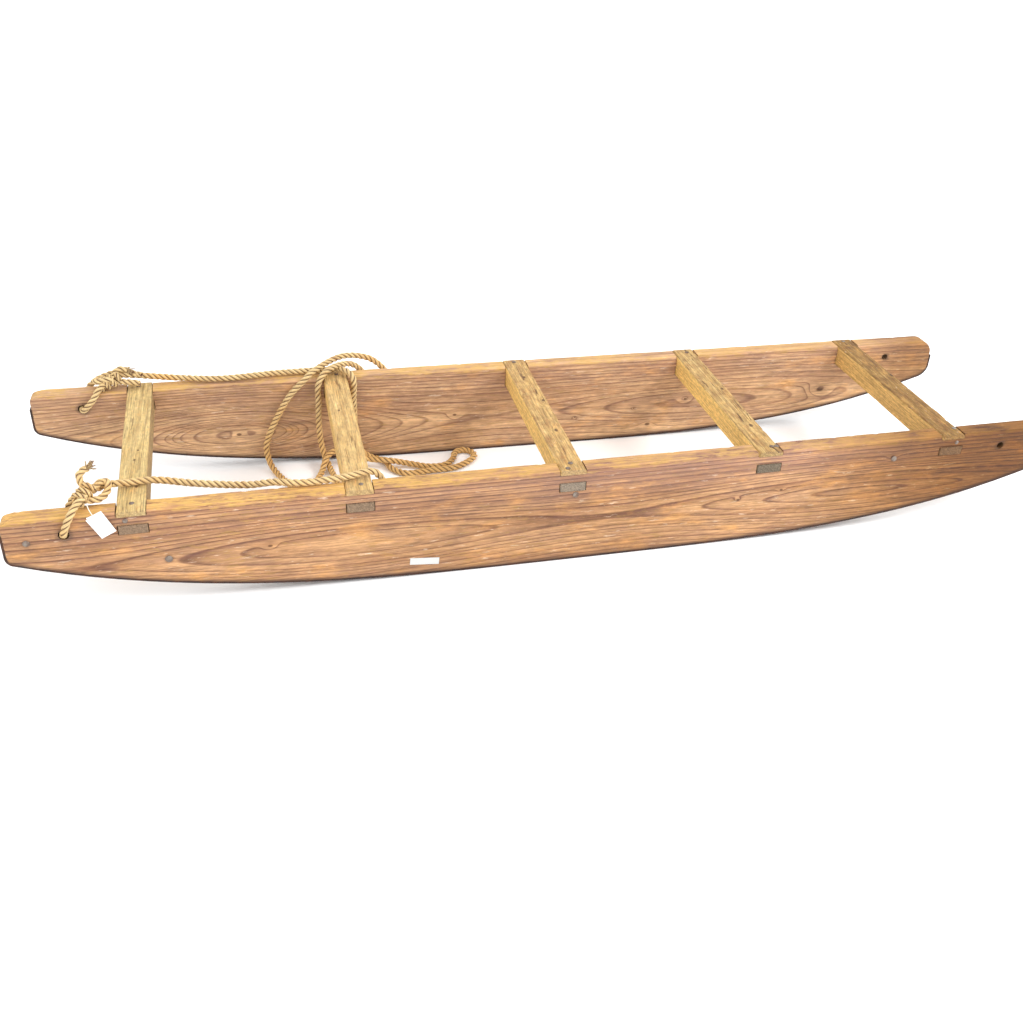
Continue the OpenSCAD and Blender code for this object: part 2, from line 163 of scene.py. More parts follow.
# Along each plank: where, how bright, how far the bare edge shows, and how thick the film is
LEFT_TINTS = [(-930, 1.02, 1.0, 0.1), (930, 0.38, 0.5, 0.0), (-500, 1.12, 1.0, 0.1), (-250, 0.96, 1.0, 0.25),
              (100, 0.95, 0.8, 0.5), (410, 1.05, 0.7, 0.45), (530, 0.80, 0.65, 0.3), (640, 0.61, 0.7, 0.15),
              (760, 0.46, 0.7, 0.0), (840, 0.40, 0.7, 0.0)]
RIGHT_TINTS = [(-930, 1.0, 1.0, 0.1), (930, 0.62, 0.5, 0.1), (-300, 1.05, 0.9, 0.1), (300, 1.05, 0.75, 0.2),
               (700, 1.08, 0.5, 0.2), (770, 0.97, 0.5, 0.1), (850, 0.70, 0.6, 0.1)]
# Knots and iron stains: along the grain, height, and size
LEFT_KNOTS = [(598, 146, 6), (304, 88, 4), (386, 100, 4), (-515, 91, 5)]
RIGHT_KNOTS = [(-558, 73, 6), (-132, 83, 5), (360, 82, 5), (281, 29, 7), (667, 83, 10), (121, 58, 3),
               (248, 69, 3)]
LEFT_STAINS = [(-823, 149, 11), (817, 149, 8), (-880, 140, 5), (-675, 86, 7)]
RIGHT_STAINS = [(-835, 149, 11), (808, 149, 8)]

# Tones that all the old wood shares
RESIN, SCUFF, FILM = "#E2A45C", "#E8CDB0", "#B48C82"
CRACK, KNOT, IRON_STAIN = "#5A3C20", "#4E3020", "#5E4A3E"
SAWN_END, SOOT_AND_SHADE = "#86705A", "#4A332A"

# Noise for fibres, broad streaks, blotches and short marks: each one's length, width and depth,
# its detail and its seed
PLANK_CLOUDS = (((130, 2.2, 2.0), 4.0, 2), ((230, 30, 15), 3.0, 4), ((85, 40, 34), 5.0, 7),
                ((24, 6, 4.5), 4.0, 11))
BAR_CLOUDS = (((60, 1.8, 1.8), 4.0, 2), ((120, 12, 12), 3.0, 4), ((34, 15, 15), 5.0, 7), ((11, 4, 4), 4.0, 11))

# The stage: each light's name, place, size and share of the key power, and the camera
LIGHTS = (("key_light", (2.3, -1.6, 2.4), 1.3, 1.0), ("fill_light", (-2.0, -2.4, 2.2), 2.5, 0.25))
LIT_POINT = (0.0, 0.0, 0.1)
FLOOR_SIZE = 60.0
CAMERA_AT = (-0.4972, -1.8036, 1.1051)
CAMERA_YAW, CAMERA_PITCH, CAMERA_ROLL = 13.771, 31.559, 1.938
CAMERA_LENS, CAMERA_SENSOR, CAMERA_FAR = 39.43, 36.0, 100.0


def linear(hex_colour):
    """Turns an sRGB hex colour such as "#C0A080" to a linear RGBA tuple."""
    out = []
    for i in (1, 3, 5):
        c = int(hex_colour[i:i + 2], 16) / 255
        out.append(c / 12.92 if c <= 0.04045 else ((c + 0.055) / 1.055) ** 2.4)
    return (*out, 1.0)


def add(tree, kind, links=None, **settings):
    """Adds a node with its settings. links gives an input's name or number a socket, a node or a value."""
    node = tree.nodes.new(kind)
    for key, value in settings.items():
        setattr(node, key, value)
    for key, value in (links or {}).items():
        if isinstance(value, bpy.types.Node):
            value = value.outputs[0]
        if isinstance(value, bpy.types.NodeSocket):
            tree.links.new(value, node.inputs[key])
        else:
            node.inputs[key].default_value = value
    return node


def calc(tree, operation, *values, **settings):
    """A math node's result."""
    return add(tree, "ShaderNodeMath", dict(enumerate(values)), operation=operation, **settings).outputs[0]


def vector(tree, operation, first, second=None):
    """A vector math node's result: a number for a length or a distance, else a vector."""
    links = {0: first}
    if second is not None:
        links["Scale" if operation == "SCALE" else 1] = second
    node = add(tree, "ShaderNodeVectorMath", links, operation=operation)
    return node.outputs["Value" if operation in ("LENGTH", "DISTANCE") else "Vector"]


def ranged(tree, value, low, high, to_low=0.0, to_high=1.0, **settings):
    """A value carried from one range to another, and held at its ends."""
    links = {0: value, 1: low, 2: high, 3: to_low, 4: to_high}
    return add(tree, "ShaderNodeMapRange", links, **settings).outputs[0]


def mixed(tree, share, first, second):
    """Two colours mixed: a share of 1 gives the second."""
    return add(tree, "ShaderNodeMix", {0: share, 6: first, 7: second}, data_type="RGBA").outputs[2]


def bell(tree, distance, power):
    """A push that is 1 in its middle and fades out over about one unit of distance."""
    faded = calc(tree, "MULTIPLY", calc(tree, "POWER", distance, power), -1.0)
    return calc(tree, "EXPONENT", faded)


def bar_x(i):
    """Crossbar i's middle along the sled, in millimetres."""
    return (i - 1) * BAR_PITCH - MID_X


def bar_half(i):
    """Half the sled's width at crossbar i, over the planks' outer faces."""
    return (FRONT_WIDTH + (REAR_WIDTH - FRONT_WIDTH) * (i - 1) / (BARS - 1)) / 2


def plank_place(side):
    """The matrix from a plank's own frame, X from its nose and Y = 0 on its outer face, to the sled's."""
    lead = FRONT_OVERHANG + (RIGHT_LEAD if side == RIGHT else 0)
    return (Matrix.Translation((-MID_X, side * FRONT_WIDTH / 2, 0))
            @ Matrix.Rotation(-side * TOE, 4, "Z") @ Matrix.Translation((-lead, 0, 0)))


def bar_place(i):
    """The matrix of crossbar i: the front one stands a little askew."""
    turn = FRONT_BAR_TURN if i == 1 else 0.0
    return Matrix.Translation((bar_x(i), 0, 0)) @ Matrix.Rotation(turn, 4, "Z")


# ---- finishing pieces ----

def new_object(name, mesh):
    """An object with the mesh, at the origin."""
    obj = bpy.data.objects.new(name, mesh)
    bpy.context.scene.collection.objects.link(obj)
    return obj


def mesh_of(bm, name):
    """The mesh that a bmesh holds; the bmesh is freed."""
    mesh = bpy.data.meshes.new(name)
    bm.to_mesh(mesh)
    bm.free()
    return mesh


def settle(obj, node, slot, *materials):
    """Gives a finished piece its materials, hides the CAD node that it stands for, and attaches it to the root
    body. slot is not used.
    """
    for material in materials:
        obj.data.materials.append(material)
    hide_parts(node)
    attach(obj, "root")
    return obj


def dress(node, material):
    """A CAD node that keeps its shape gets a better material."""
    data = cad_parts[node].data
    if not data.materials:
        data.materials.append(material)
    for i in range(len(data.materials)):
        data.materials[i] = material


def smooth(mesh, degrees):
    """Shades the mesh smoothly, but for edges sharper than the angle."""
    for face in mesh.polygons:
        face.use_smooth = True
    mesh.set_sharp_from_angle(angle=math.radians(degrees))


def box_cutter(bm, low, high, place):
    """Adds a box from one corner to the other, in the frame that place gives."""
    made = bmesh.ops.create_cube(bm, size=1.0)["verts"]
    for v in made:
        v.co = place @ Vector([low[k] + (v.co[k] + 0.5) * (high[k] - low[k]) for k in range(3)])


def rod_cutter(bm, centre, radius, length, place):
    """Adds a rod across a plank, for its rope hole."""
    turned = Matrix.Translation(centre) @ Matrix.Rotation(math.pi / 2, 4, "X")
    made = bmesh.ops.create_cone(bm, cap_ends=True, segments=40, radius1=radius, radius2=radius, depth=length)
    for v in made["verts"]:
        v.co = place @ (turned @ v.co)


def cut(obj, cutter_mesh):
    """Cuts a mesh out of an object, and puts the result in its mesh."""
    cutter = new_object("cutter", cutter_mesh)
    modifier = obj.modifiers.new("cut", "BOOLEAN")
    modifier.operation = "DIFFERENCE"
    modifier.solver = "EXACT"
    modifier.object = cutter
    bpy.context.view_layer.update()
    done = bpy.data.meshes.new_from_object(obj.evaluated_get(bpy.context.evaluated_depsgraph_get()))
    obj.modifiers.clear()
    obj.data = done
    bpy.data.objects.remove(cutter)
    if len(done.polygons) < 100:
        raise RuntimeError(f"{obj.name} came out of its cut almost empty")


# ---- wood shapes ----

def curve_z(x):
    """Height of the rocker curve at x from the nose."""
    return SHOE_T + END_RISE * abs(2 * x / PLANK_LEN - 1) ** ROCKER_POWER


def plank_bottom(x):
    """Height of the plank's lower edge, with the rounded lower corners of its nose and tail."""
    slope = math.atan(END_RISE * ROCKER_POWER / (PLANK_LEN / 2))
    for r, d in ((NOSE_R, x), (TAIL_R, PLANK_LEN - x)):
        if d < r * (1 - math.sin(slope)):
            centre = curve_z(0) - r * math.tan(slope) + r / math.cos(slope)
            return centre - math.sqrt(max(0.0, r * r - (r - d) ** 2))
    return curve_z(x)


def plank_top(x):
    """Height of the upper edge, which is worn off at the nose and rounded at the tail."""
    if x < NOSE_WEAR_RUN:
        t = x / NOSE_WEAR_RUN
        return SLED_H - NOSE_WEAR * (1 - t) ** 2 if t < 0.25 else SLED_H - NOSE_WEAR / 2 * (1 - t) / 0.75
    d = PLANK_LEN - x
    if d < TAIL_TOP_R:
        return SLED_H - TAIL_TOP_R + math.sqrt(max(0.0, TAIL_TOP_R ** 2 - (TAIL_TOP_R - d) ** 2))
    return SLED_H


def rounded_section(low, high, corners, along, seed, ripple):
    """Points of a rounded rectangle from low to high, with a radius for each corner.

    They lean in a little, by up to ripple, where hand tools and wear took wood away.
    """
    (a0, b0), (a1, b1) = low, high
    spots = [(a1, b0, -90), (a1, b1, 0), (a0, b1, 90), (a0, b0, 180)]
    points = []
    steps = 4
    for k, (a, b, start) in enumerate(spots):
        r = corners[k]
        ca, cb = a - math.copysign(r, a - (a0 + a1) / 2), b - math.copysign(r, b - (b0 + b1) / 2)
        for j in range(steps + 1):
            t = math.radians(start + 90 * j / steps)
            points.append((ca + r * math.cos(t), cb + r * math.sin(t)))
        na, nb, nstart = spots[(k + 1) % 4]
        rn = corners[(k + 1) % 4]
        first = points[-1]
        ta = math.radians(nstart)
        nxt = (na - math.copysign(rn, na - (a0 + a1) / 2) + rn * math.cos(ta),
               nb - math.copysign(rn, nb - (b0 + b1) / 2) + rn * math.sin(ta))
        parts = 9 if k % 2 == 0 else 4
        for j in range(1, parts):
            points.append((first[0] + (nxt[0] - first[0]) * j / parts,
                           first[1] + (nxt[1] - first[1]) * j / parts))
    out = []
    ma, mb = (a0 + a1) / 2, (b0 + b1) / 2
    for a, b in points:
        n = noise.noise(Vector((along / 45, a / 16, b / 16 + seed))) * 0.5 + 0.5
        m = noise.noise(Vector((along / 240, a / 30, b / 50 + seed + 9))) * 0.5 + 0.5
        lean = ripple * (0.35 * n + 0.65 * m)
        da, db = ma - a, mb - b
        out.append((a + max(-lean, min(lean, da)), b + max(-lean, min(lean, db))))
    return out


def loft(bm, rings, place):
    """Joins rings of points into a closed skin and caps its ends."""
    made = [[bm.verts.new(place @ Vector(p)) for p in ring] for ring in rings]
    count = len(made[0])
    for one, two in zip(made, made[1:]):
        for k in range(count):
            bm.faces.new((one[k], one[(k + 1) % count], two[(k + 1) % count], two[k]))
    bm.faces.new(list(reversed(made[0])))
    bm.faces.new(made[-1])
    bmesh.ops.recalc_face_normals(bm, faces=bm.faces)


def wear_at(along, seed, least, most, length=60.0):
    """A corner's radius, which wanders along the piece as wear and chips do."""
    n = noise.noise(Vector((along / length, seed, 0))) * 0.5 + 0.5
    chip = max(0.0, noise.noise(Vector((along / 17, seed + 40, 3))) - 0.32) * 4
    return least + (most - least) * min(1.0, 0.8 * n + chip)


def make_plank(name, side, most):
    """One runner plank: its outline, worn edges, notches, mortises and rope holes."""
    place = plank_place(side)
    count = int((PLANK_LEN - 2 * PLANK_SLICE_START) / PLANK_SLICE_STEP) + 1
    stations = PLANK_SLICES + [PLANK_SLICE_START + PLANK_SLICE_STEP * k for k in range(count)]
    stations += [PLANK_LEN - e for e in PLANK_SLICES]
    rings = []
    inner, outer = (RUNNER_T, 0.0) if side == LEFT else (-RUNNER_T, 0.0)
    low_y, high_y = min(inner, outer), max(inner, outer)
    for x in sorted(stations):
        end = min(x, PLANK_LEN - x)
        shrink = 2.2 * max(0.0, 1 - end / 3.0) ** 2
        zb, zt = plank_bottom(x) + shrink, plank_top(x) - shrink
        seed = 3.0 if side == LEFT else 17.0
        top_a = wear_at(x, seed, 2.0, most)
        top_b = wear_at(x, seed + 5, 2.0, most)
        low = wear_at(x, seed + 8, 0.8, 2.0)
        section = rounded_section((low_y + shrink, zb), (high_y - shrink, zt), (low, top_b, top_a, low), x,
                                  seed, 0.5)
        rings.append([(x, y, z) for y, z in section])
    bm = bmesh.new()
    loft(bm, rings, place)
    obj = new_object(name, mesh_of(bm, name))
    cuts = bmesh.new()
    for i in range(1, BARS + 1):
        at = bar_place(i)
        near, far = sorted(side * reach for reach in PLANK_ZONE)
        notch, slot = BAR_W / 2 + LIP_GAP, BAR_W / 2 + TENON_GAP
        box_cutter(cuts, (-notch, near, SLED_H - LIP_T), (notch, far, SLED_H + 20), at)
        box_cutter(cuts, (-slot, near, SLED_H - BAR_H), (slot, far, SLED_H - LIP_T - BRIDGE_H), at)
    middle = -side * RUNNER_T / 2
    for x, wide in ((FRONT_HOLE_INSET, FRONT_HOLE_D), (PLANK_LEN - REAR_HOLE_INSET, REAR_HOLE_D)):
        rod_cutter(cuts, (x, middle, SLED_H - HOLE_DROP), wide / 2, ROD_LONG, place)
    cut(obj, mesh_of(cuts, name + "_cutter"))
    # how far each point is above the lower edge, for the dirt and painted shade beside the iron
    back = place.inverted()
    rise = obj.data.attributes.new("rise", "FLOAT", "POINT")
    for v in obj.data.vertices:
        at = back @ v.co
        rise.data[v.index].value = at.z - plank_bottom(min(max(at.x, 0.0), PLANK_LEN))
    scale_to_metres(obj)
    smooth(obj.data, 40)
    return obj


def make_crossbar(i, most):
    """One crossbar: a worn stick whose ends are forked around the planks."""
    name = f"crossbar_{i}_wood"
    half = bar_half(i) + END_PROUD
    place = bar_place(i)
    stations = [-half + s for s in BAR_SLICES] + [half - s for s in BAR_SLICES]
    inner = 2 * (half - BAR_SLICE_START)
    count = int(inner / BAR_SLICE_STEP)
    stations += [-half + BAR_SLICE_START + k * inner / count for k in range(count + 1)]
    rings = []
    seed = 31.0 * i
    worst = most * BAR_WEAR[i - 1]
    for y in sorted(stations):
        end = half - abs(y)
        shrink = 1.4 * max(0.0, 1 - end / 3.0) ** 2
        top_a = wear_at(y, seed, 1.6, worst, 38)
        top_b = wear_at(y, seed + 3, 1.6, worst * 0.7, 38)
        low = wear_at(y, seed + 6, 1.0, 2.4)
        section = rounded_section((-BAR_W / 2 + shrink, SLED_H - BAR_H + shrink),
                                  (BAR_W / 2 - shrink, SLED_H - shrink), (low, top_b, top_a, low), y, seed, 0.8)
        rings.append([(x, y, z) for x, z in section])
    bm = bmesh.new()
    loft(bm, rings, place)
    obj = new_object(name, mesh_of(bm, name))
    cuts = bmesh.new()
    for side in (LEFT, RIGHT):
        depth = sorted((side * (END_PROUD + 5), -side * (RUNNER_T + FORK_GAP)))
        low = SLED_H - LIP_T - BRIDGE_H - FORK_GAP
        box_cutter(cuts, (0, depth[0], low), (PLANK_LEN, depth[1], SLED_H - LIP_T), plank_place(side))
    cut(obj, mesh_of(cuts, name + "_cutter"))
    scale_to_metres(obj)
    smooth(obj.data, 40)
    return obj


def scale_to_metres(obj):
    """Turns a mesh that was built in millimetres to metres."""
    obj.data.transform(Matrix.Scale(MM, 4))
    obj.data.update()


# ---- rope shapes ----

def new_group(name, output, *inputs):
    """An empty node group that takes a shape and some settings: the group and its input sockets."""
    tree = bpy.data.node_groups.new(name, "GeometryNodeTree")
    for socket, kind in inputs:
        tree.interface.new_socket(socket, in_out="INPUT", socket_type="NodeSocket" + kind)
    tree.interface.new_socket(output, in_out="OUTPUT", socket_type="NodeSocketGeometry")
    return tree, add(tree, "NodeGroupInput").outputs


def run_group(name, source, tree, least, **values):
    """What a node group makes of an object, as a plain object; the source is removed."""
    modifier = source.modifiers.new("made", "NODES")
    modifier.node_group = tree
    for item in tree.interface.items_tree:
        key = item.name.lower().replace(" ", "_")
        if item.in_out == "INPUT" and key in values:
            modifier[item.identifier] = values[key]
    bpy.context.view_layer.update()
    mesh = bpy.data.meshes.new_from_object(source.evaluated_get(bpy.context.evaluated_depsgraph_get()))
    source.modifiers.clear()
    bpy.data.objects.remove(source)
    if len(mesh.polygons) < least:
        raise RuntimeError(f"{name} came out of its node group almost empty")
    mesh.name = name
    return new_object(name, mesh)


def smooth_route(points, step=ROUTE_STEP):
    """A smooth curve through the points, as evenly spaced points a short step apart."""
    pts = [Vector(p) for p in points]
    pts = [2 * pts[0] - pts[1]] + pts + [2 * pts[-1] - pts[-2]]
    fine = []
    for p0, p1, p2, p3 in zip(pts, pts[1:], pts[2:], pts[3:]):
        d0, d1, d2 = ((b - a).length ** 0.5 for a, b in ((p0, p1), (p1, p2), (p2, p3)))
        m1 = ((p1 - p0) / d0 - (p2 - p0) / (d0 + d1) + (p2 - p1) / d1) * d1
        m2 = ((p2 - p1) / d1 - (p3 - p1) / (d1 + d2) + (p3 - p2) / d2) * d1
        for k in range(ROUTE_FINE):
            t = k / ROUTE_FINE
            fine.append((2 * t ** 3 - 3 * t ** 2 + 1) * p1 + (t ** 3 - 2 * t ** 2 + t) * m1
                        + (-2 * t ** 3 + 3 * t ** 2) * p2 + (t ** 3 - t ** 2) * m2)
    fine.append(pts[-2])
    length = sum((b - a).length for a, b in zip(fine, fine[1:]))
    count = max(4, round(length / step))
    out, walked, k = [fine[0]], 0.0, 0
    for i in range(1, count):
        want = length * i / count
        while walked + (fine[k + 1] - fine[k]).length < want:
            walked += (fine[k + 1] - fine[k]).length
            k += 1
        share = (want - walked) / (fine[k + 1] - fine[k]).length
        out.append(fine[k].lerp(fine[k + 1], share))
    out.append(fine[-1])
    return out


def wrap_route(ends, turns, radius):
    """A helix of rope turns around the line between two points."""
    a, b = Vector(ends[0]), Vector(ends[1])
    axis = (b - a).normalized()
    side = axis.cross(Vector((0, 0, 1))).normalized()
    other = axis.cross(side)
    count = int(turns * 12)
    return [tuple(a.lerp(b, k / count) + radius * (side * math.cos(math.tau * turns * k / count)
            + other * math.sin(math.tau * turns * k / count))) for k in range(count + 1)]


def route_curve(name, routes):
    """A curve object with one straight-sided spline for each route, in metres."""
    curve = bpy.data.curves.new(name, "CURVE")
    curve.dimensions = "3D"
    for points in routes:
        spline = curve.splines.new("POLY")
        spline.points.add(len(points) - 1)
        for p, at in zip(spline.points, points):
            p.co = (*[c * MM for c in at], 1.0)
    return new_object(name, curve)


def strand_tree():
    """Three strands laid around the curve, with a few loose straws standing out of them."""
    tree, given = new_group("laid_rope", "Rope", ("Route", "Geometry"), ("Rope Diameter", "Float"),
                            ("Lay Length", "Float"), ("Loose Straws", "Int"), ("Seed", "Int"),
                            ("Material", "Material"))
    run = add(tree, "GeometryNodeSplineParameter").outputs["Length"]
    kept = add(tree, "GeometryNodeStoreNamedAttribute",
               {"Geometry": given["Route"], "Name": "run", "Value": run}, data_type="FLOAT", domain="POINT")
    here = add(tree, "GeometryNodeInputPosition")
    kept = add(tree, "GeometryNodeStoreNamedAttribute", {"Geometry": kept, "Name": "core", "Value": here},
               data_type="FLOAT_VECTOR", domain="POINT")
    kept = add(tree, "GeometryNodeStoreNamedAttribute",
               {"Geometry": kept, "Name": "girth", "Value": given["Rope Diameter"]}, data_type="FLOAT",
               domain="POINT")
    tangent = add(tree, "GeometryNodeInputTangent")
    normal = add(tree, "GeometryNodeInputNormal")
    other = vector(tree, "CROSS_PRODUCT", tangent, normal)
    turns = calc(tree, "DIVIDE", run, given["Lay Length"])
    base = calc(tree, "MULTIPLY", turns, math.tau)
    reach = calc(tree, "MULTIPLY", given["Rope Diameter"], STRAND_OUT)
    thick = calc(tree, "MULTIPLY", given["Rope Diameter"], STRAND_R)
    profile = add(tree, "GeometryNodeCurvePrimitiveCircle", {"Resolution": 9, "Radius": thick})
    spot = add(tree, "GeometryNodeInputPosition")
    profile = add(tree, "GeometryNodeStoreNamedAttribute",
                  {"Geometry": profile, "Name": "section", "Value": spot}, data_type="FLOAT_VECTOR",
                  domain="POINT")
    joined = add(tree, "GeometryNodeJoinGeometry")
    for k in range(STRANDS):
        angle = calc(tree, "ADD", base, k * math.tau / STRANDS)
        cos = calc(tree, "COSINE", angle)
        sin = calc(tree, "SINE", angle)
        one = vector(tree, "SCALE", normal, cos)
        two = vector(tree, "SCALE", other, sin)
        both = vector(tree, "ADD", one, two)
        shift = vector(tree, "SCALE", both, reach)
        moved = add(tree, "GeometryNodeSetPosition", {"Geometry": kept, "Offset": shift})
        strand = add(tree, "GeometryNodeCurveToMesh",
                     {"Curve": moved, "Profile Curve": profile, "Fill Caps": True})
        tree.links.new(strand.outputs[0], joined.inputs[0])
    straw_long = calc(tree, "MULTIPLY", given["Rope Diameter"], STRAW_LONG)
    straw = add(tree, "GeometryNodeMeshCone",
                {"Vertices": 3, "Radius Top": STRAW_THIN, "Radius Bottom": STRAW_THICK, "Depth": straw_long})
    spots = add(tree, "GeometryNodeCurveToPoints", {"Curve": kept, "Count": given["Loose Straws"]},
                mode="COUNT")
    turn = add(tree, "FunctionNodeRandomValue",
               {0: (0.0, 0.0, 0.0), 1: (math.tau, math.tau, math.tau), "Seed": given["Seed"]},
               data_type="FLOAT_VECTOR")
    straws = add(tree, "GeometryNodeInstanceOnPoints", {"Points": spots, "Instance": straw, "Rotation": turn})
    tree.links.new(straws.outputs[0], joined.inputs[0])
    real = add(tree, "GeometryNodeRealizeInstances", {0: joined})
    # whatever would poke into the floor lies on it
    corner = add(tree, "ShaderNodeSeparateXYZ", {0: add(tree, "GeometryNodeInputPosition")}).outputs
    lifted = calc(tree, "MAXIMUM", corner[2], FLOOR_GAP)
    lifted = add(tree, "ShaderNodeCombineXYZ", {0: corner[0], 1: corner[1], 2: lifted})
    real = add(tree, "GeometryNodeSetPosition", {"Geometry": real, "Position": lifted})
    level = add(tree, "GeometryNodeSetShadeSmooth", {0: real})
    painted = add(tree, "GeometryNodeSetMaterial", {"Geometry": level, "Material": given["Material"]})
    add(tree, "NodeGroupOutput", {0: painted})
    return tree


def lay_rope(name, routes, diameter, lay, straws, seed, material):
    """Runs the rope tree along the routes, and gives back a plain mesh object."""
    source = route_curve(name + "_route", routes)
    tree = bpy.data.node_groups.get("laid_rope") or strand_tree()
    return run_group(name, source, tree, 100, rope_diameter=diameter, lay_length=lay, loose_straws=straws,
                     seed=seed, material=material)


# ---- nails and paper ----

def nail_spots(node, out):
    """Where a CAD node's nails come out of the wood: the middle of each nail's outermost points."""
    bm = bmesh.new()
    bm.from_mesh(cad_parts[node].data)
    bmesh.ops.remove_doubles(bm, verts=bm.verts, dist=1e-6)
    # a dict keeps the points' order, so that each run adds them up alike
    spots, left = [], dict.fromkeys(bm.verts)
    while left:
        nail, reached = [], [left.popitem()[0]]
        while reached:
            v = reached.pop()
            nail.append(v.co.copy())
            for edge in v.link_edges:
                other = edge.other_vert(v)
                if other in left:
                    del left[other]
                    reached.append(other)
        far = max(co.dot(out) for co in nail)
        head = [co for co in nail if co.dot(out) > far - 0.0002]
        spots.append(sum(head, Vector()) / len(head) - out * HEAD_T * MM)
    bm.free()
    return sorted(spots, key=lambda p: p.x)


def nail_tree():
    """A worn dome on each point, squashed along the point's own direction."""
    tree, given = new_group("nail_heads", "Heads", ("Spots", "Geometry"), ("Head Diameter", "Float"),
                            ("Head Height", "Float"), ("Seed", "Int"), ("Material", "Material"))
    half = calc(tree, "MULTIPLY", given["Head Diameter"], 0.5)
    ball = add(tree, "GeometryNodeMeshUVSphere", {"Segments": 18, "Rings": 12, "Radius": 1.0})
    flat = add(tree, "ShaderNodeCombineXYZ", {0: half, 1: half, 2: given["Head Height"]})
    dome = add(tree, "GeometryNodeTransform", {"Geometry": ball.outputs["Mesh"], "Scale": flat})
    # hammered out of round
    here = add(tree, "GeometryNodeInputPosition")
    dent = add(tree, "ShaderNodeTexNoise", {"Vector": here, "Scale": 300.0, "Detail": 1.0})
    dent = vector(tree, "SUBTRACT", dent.outputs["Color"], (0.5, 0.5, 0.5))
    dent = vector(tree, "SCALE", dent, 0.0012)
    out = add(tree, "GeometryNodeInputNamedAttribute", {"Name": "out"}, data_type="FLOAT_VECTOR")
    aim = add(tree, "FunctionNodeAlignRotationToVector", {"Vector": out.outputs["Attribute"]}, axis="Z")
    points = add(tree, "GeometryNodeMeshToPoints", {"Mesh": given["Spots"]})
    size = add(tree, "FunctionNodeRandomValue", {2: 0.88, 3: 1.08, "Seed": given["Seed"]}, data_type="FLOAT")
    heads = add(tree, "GeometryNodeInstanceOnPoints",
                {"Points": points, "Instance": dome, "Rotation": aim, "Scale": size.outputs[1]})
    real = add(tree, "GeometryNodeRealizeInstances", {0: heads})
    real = add(tree, "GeometryNodeSetPosition", {"Geometry": real, "Offset": dent})
    level = add(tree, "GeometryNodeSetShadeSmooth", {0: real})
    painted = add(tree, "GeometryNodeSetMaterial", {"Geometry": level, "Material": given["Material"]})
    add(tree, "NodeGroupOutput", {0: painted})
    return tree


def make_heads(name, node, out, diameter, height, seed, material):
    """The heads of one CAD node's nails, as one plain mesh."""
    spots = nail_spots(node, out)
    mesh = bpy.data.meshes.new(name + "_spots")
    mesh.from_pydata([tuple(p) for p in spots], [], [])
    way = mesh.attributes.new("out", "FLOAT_VECTOR", "POINT")
    for k in range(len(spots)):
        way.data[k].vector = tuple(out)
    source = new_object(name + "_source", mesh)
    tree = bpy.data.node_groups.get("nail_heads") or nail_tree()
    return run_group(name, source, tree, 50, head_diameter=diameter, head_height=height, seed=seed,
                     material=material)


def bent_card(bm, half_w, half_l, place):
    """A thin card, bowed a little across its width and along its length."""
    sheets = []
    for shift in (0.0, CARD_T):
        grid = []
        for j in range(CARD_ROWS + 1):
            y = -half_l + 2 * half_l * j / CARD_ROWS
            row = []
            for i in range(CARD_ROWS + 1):
                x = half_w * (2 * i / CARD_ROWS - 1)
                lift = CARD_BOW * (1 - (x / half_w) ** 2) + 0.6 * CARD_BOW * (y / half_l) ** 2
                row.append(bm.verts.new(place @ Vector((x, y, shift + lift))))
            grid.append(row)
        sheets.append(grid)
    back, front = sheets
    last = CARD_ROWS
    for j in range(last):
        for i in range(last):
            bm.faces.new((front[j][i], front[j][i + 1], front[j + 1][i + 1], front[j + 1][i]))
            bm.faces.new((back[j][i], back[j + 1][i], back[j + 1][i + 1], back[j][i + 1]))
    rim = [(0, i) for i in range(last)] + [(j, last) for j in range(last)]
    rim += [(last, i) for i in range(last, 0, -1)] + [(j, 0) for j in range(last, 0, -1)]
    for (j, i), (q, p) in zip(rim, rim[1:] + rim[:1]):
        bm.faces.new((back[j][i], back[q][p], front[q][p], front[j][i]))


def make_tag(name):
    """The blank tag: two cards on one thread, the back one slipped sideways and down."""
    bm = bmesh.new()
    hang = Matrix.Translation(TAG_MIDDLE) @ Matrix.Rotation(math.pi / 2, 4, "X")
    hang = hang @ Matrix.Rotation(math.radians(TAG_TURN), 4, "Z")
    half_w, half_l = TAG_W / 2, TAG_L / 2
    for shift, turn, less_w, less_l in (((1.2, 1.6, 0.35), -1.5, 1.3, 1.6),
                                        ((-1.2, 0.0, -0.35), 2.0, 1.6, 2.6)):
        place = hang @ Matrix.Translation(shift) @ Matrix.Rotation(math.radians(turn), 4, "Z")
        bent_card(bm, half_w - less_w, half_l - less_l, place)
    bmesh.ops.recalc_face_normals(bm, faces=bm.faces)
    tag = new_object(name, mesh_of(bm, name))
    scale_to_metres(tag)
    smooth(tag.data, 30)
    return tag


def frayed_end(route, count, seed, length=FRAY_LONG):
    """Straws that fan out of a rope's cut end, as short routes of their own."""
    tip, ahead = route[-1], (route[-1] - route[-3]).normalized()
    draw = random.Random(seed)
    fans = []
    for _ in range(count):
        aside = Vector((draw.uniform(-1, 1), draw.uniform(-1, 1), draw.uniform(-1, 1))).cross(ahead)
        start = tip + aside * 2.4 - ahead * 4
        bend = Vector((draw.uniform(-1, 1), draw.uniform(-1, 1), draw.uniform(-0.6, 0.5)))
        far = length * draw.uniform(0.45, 1.0)
        spread = aside * 4.5 + bend * 3.0
        fans.append([tuple(start + ahead * far * t + spread * t * t) for t in (0.0, 0.25, 0.5, 0.75, 1.0)])
    return fans


# ---- materials ----

def new_material(name):
    """An empty material and its node tree."""
    material = bpy.data.materials.new(name)
    material.use_nodes = True
    material.node_tree.nodes.clear()
    return material, material.node_tree


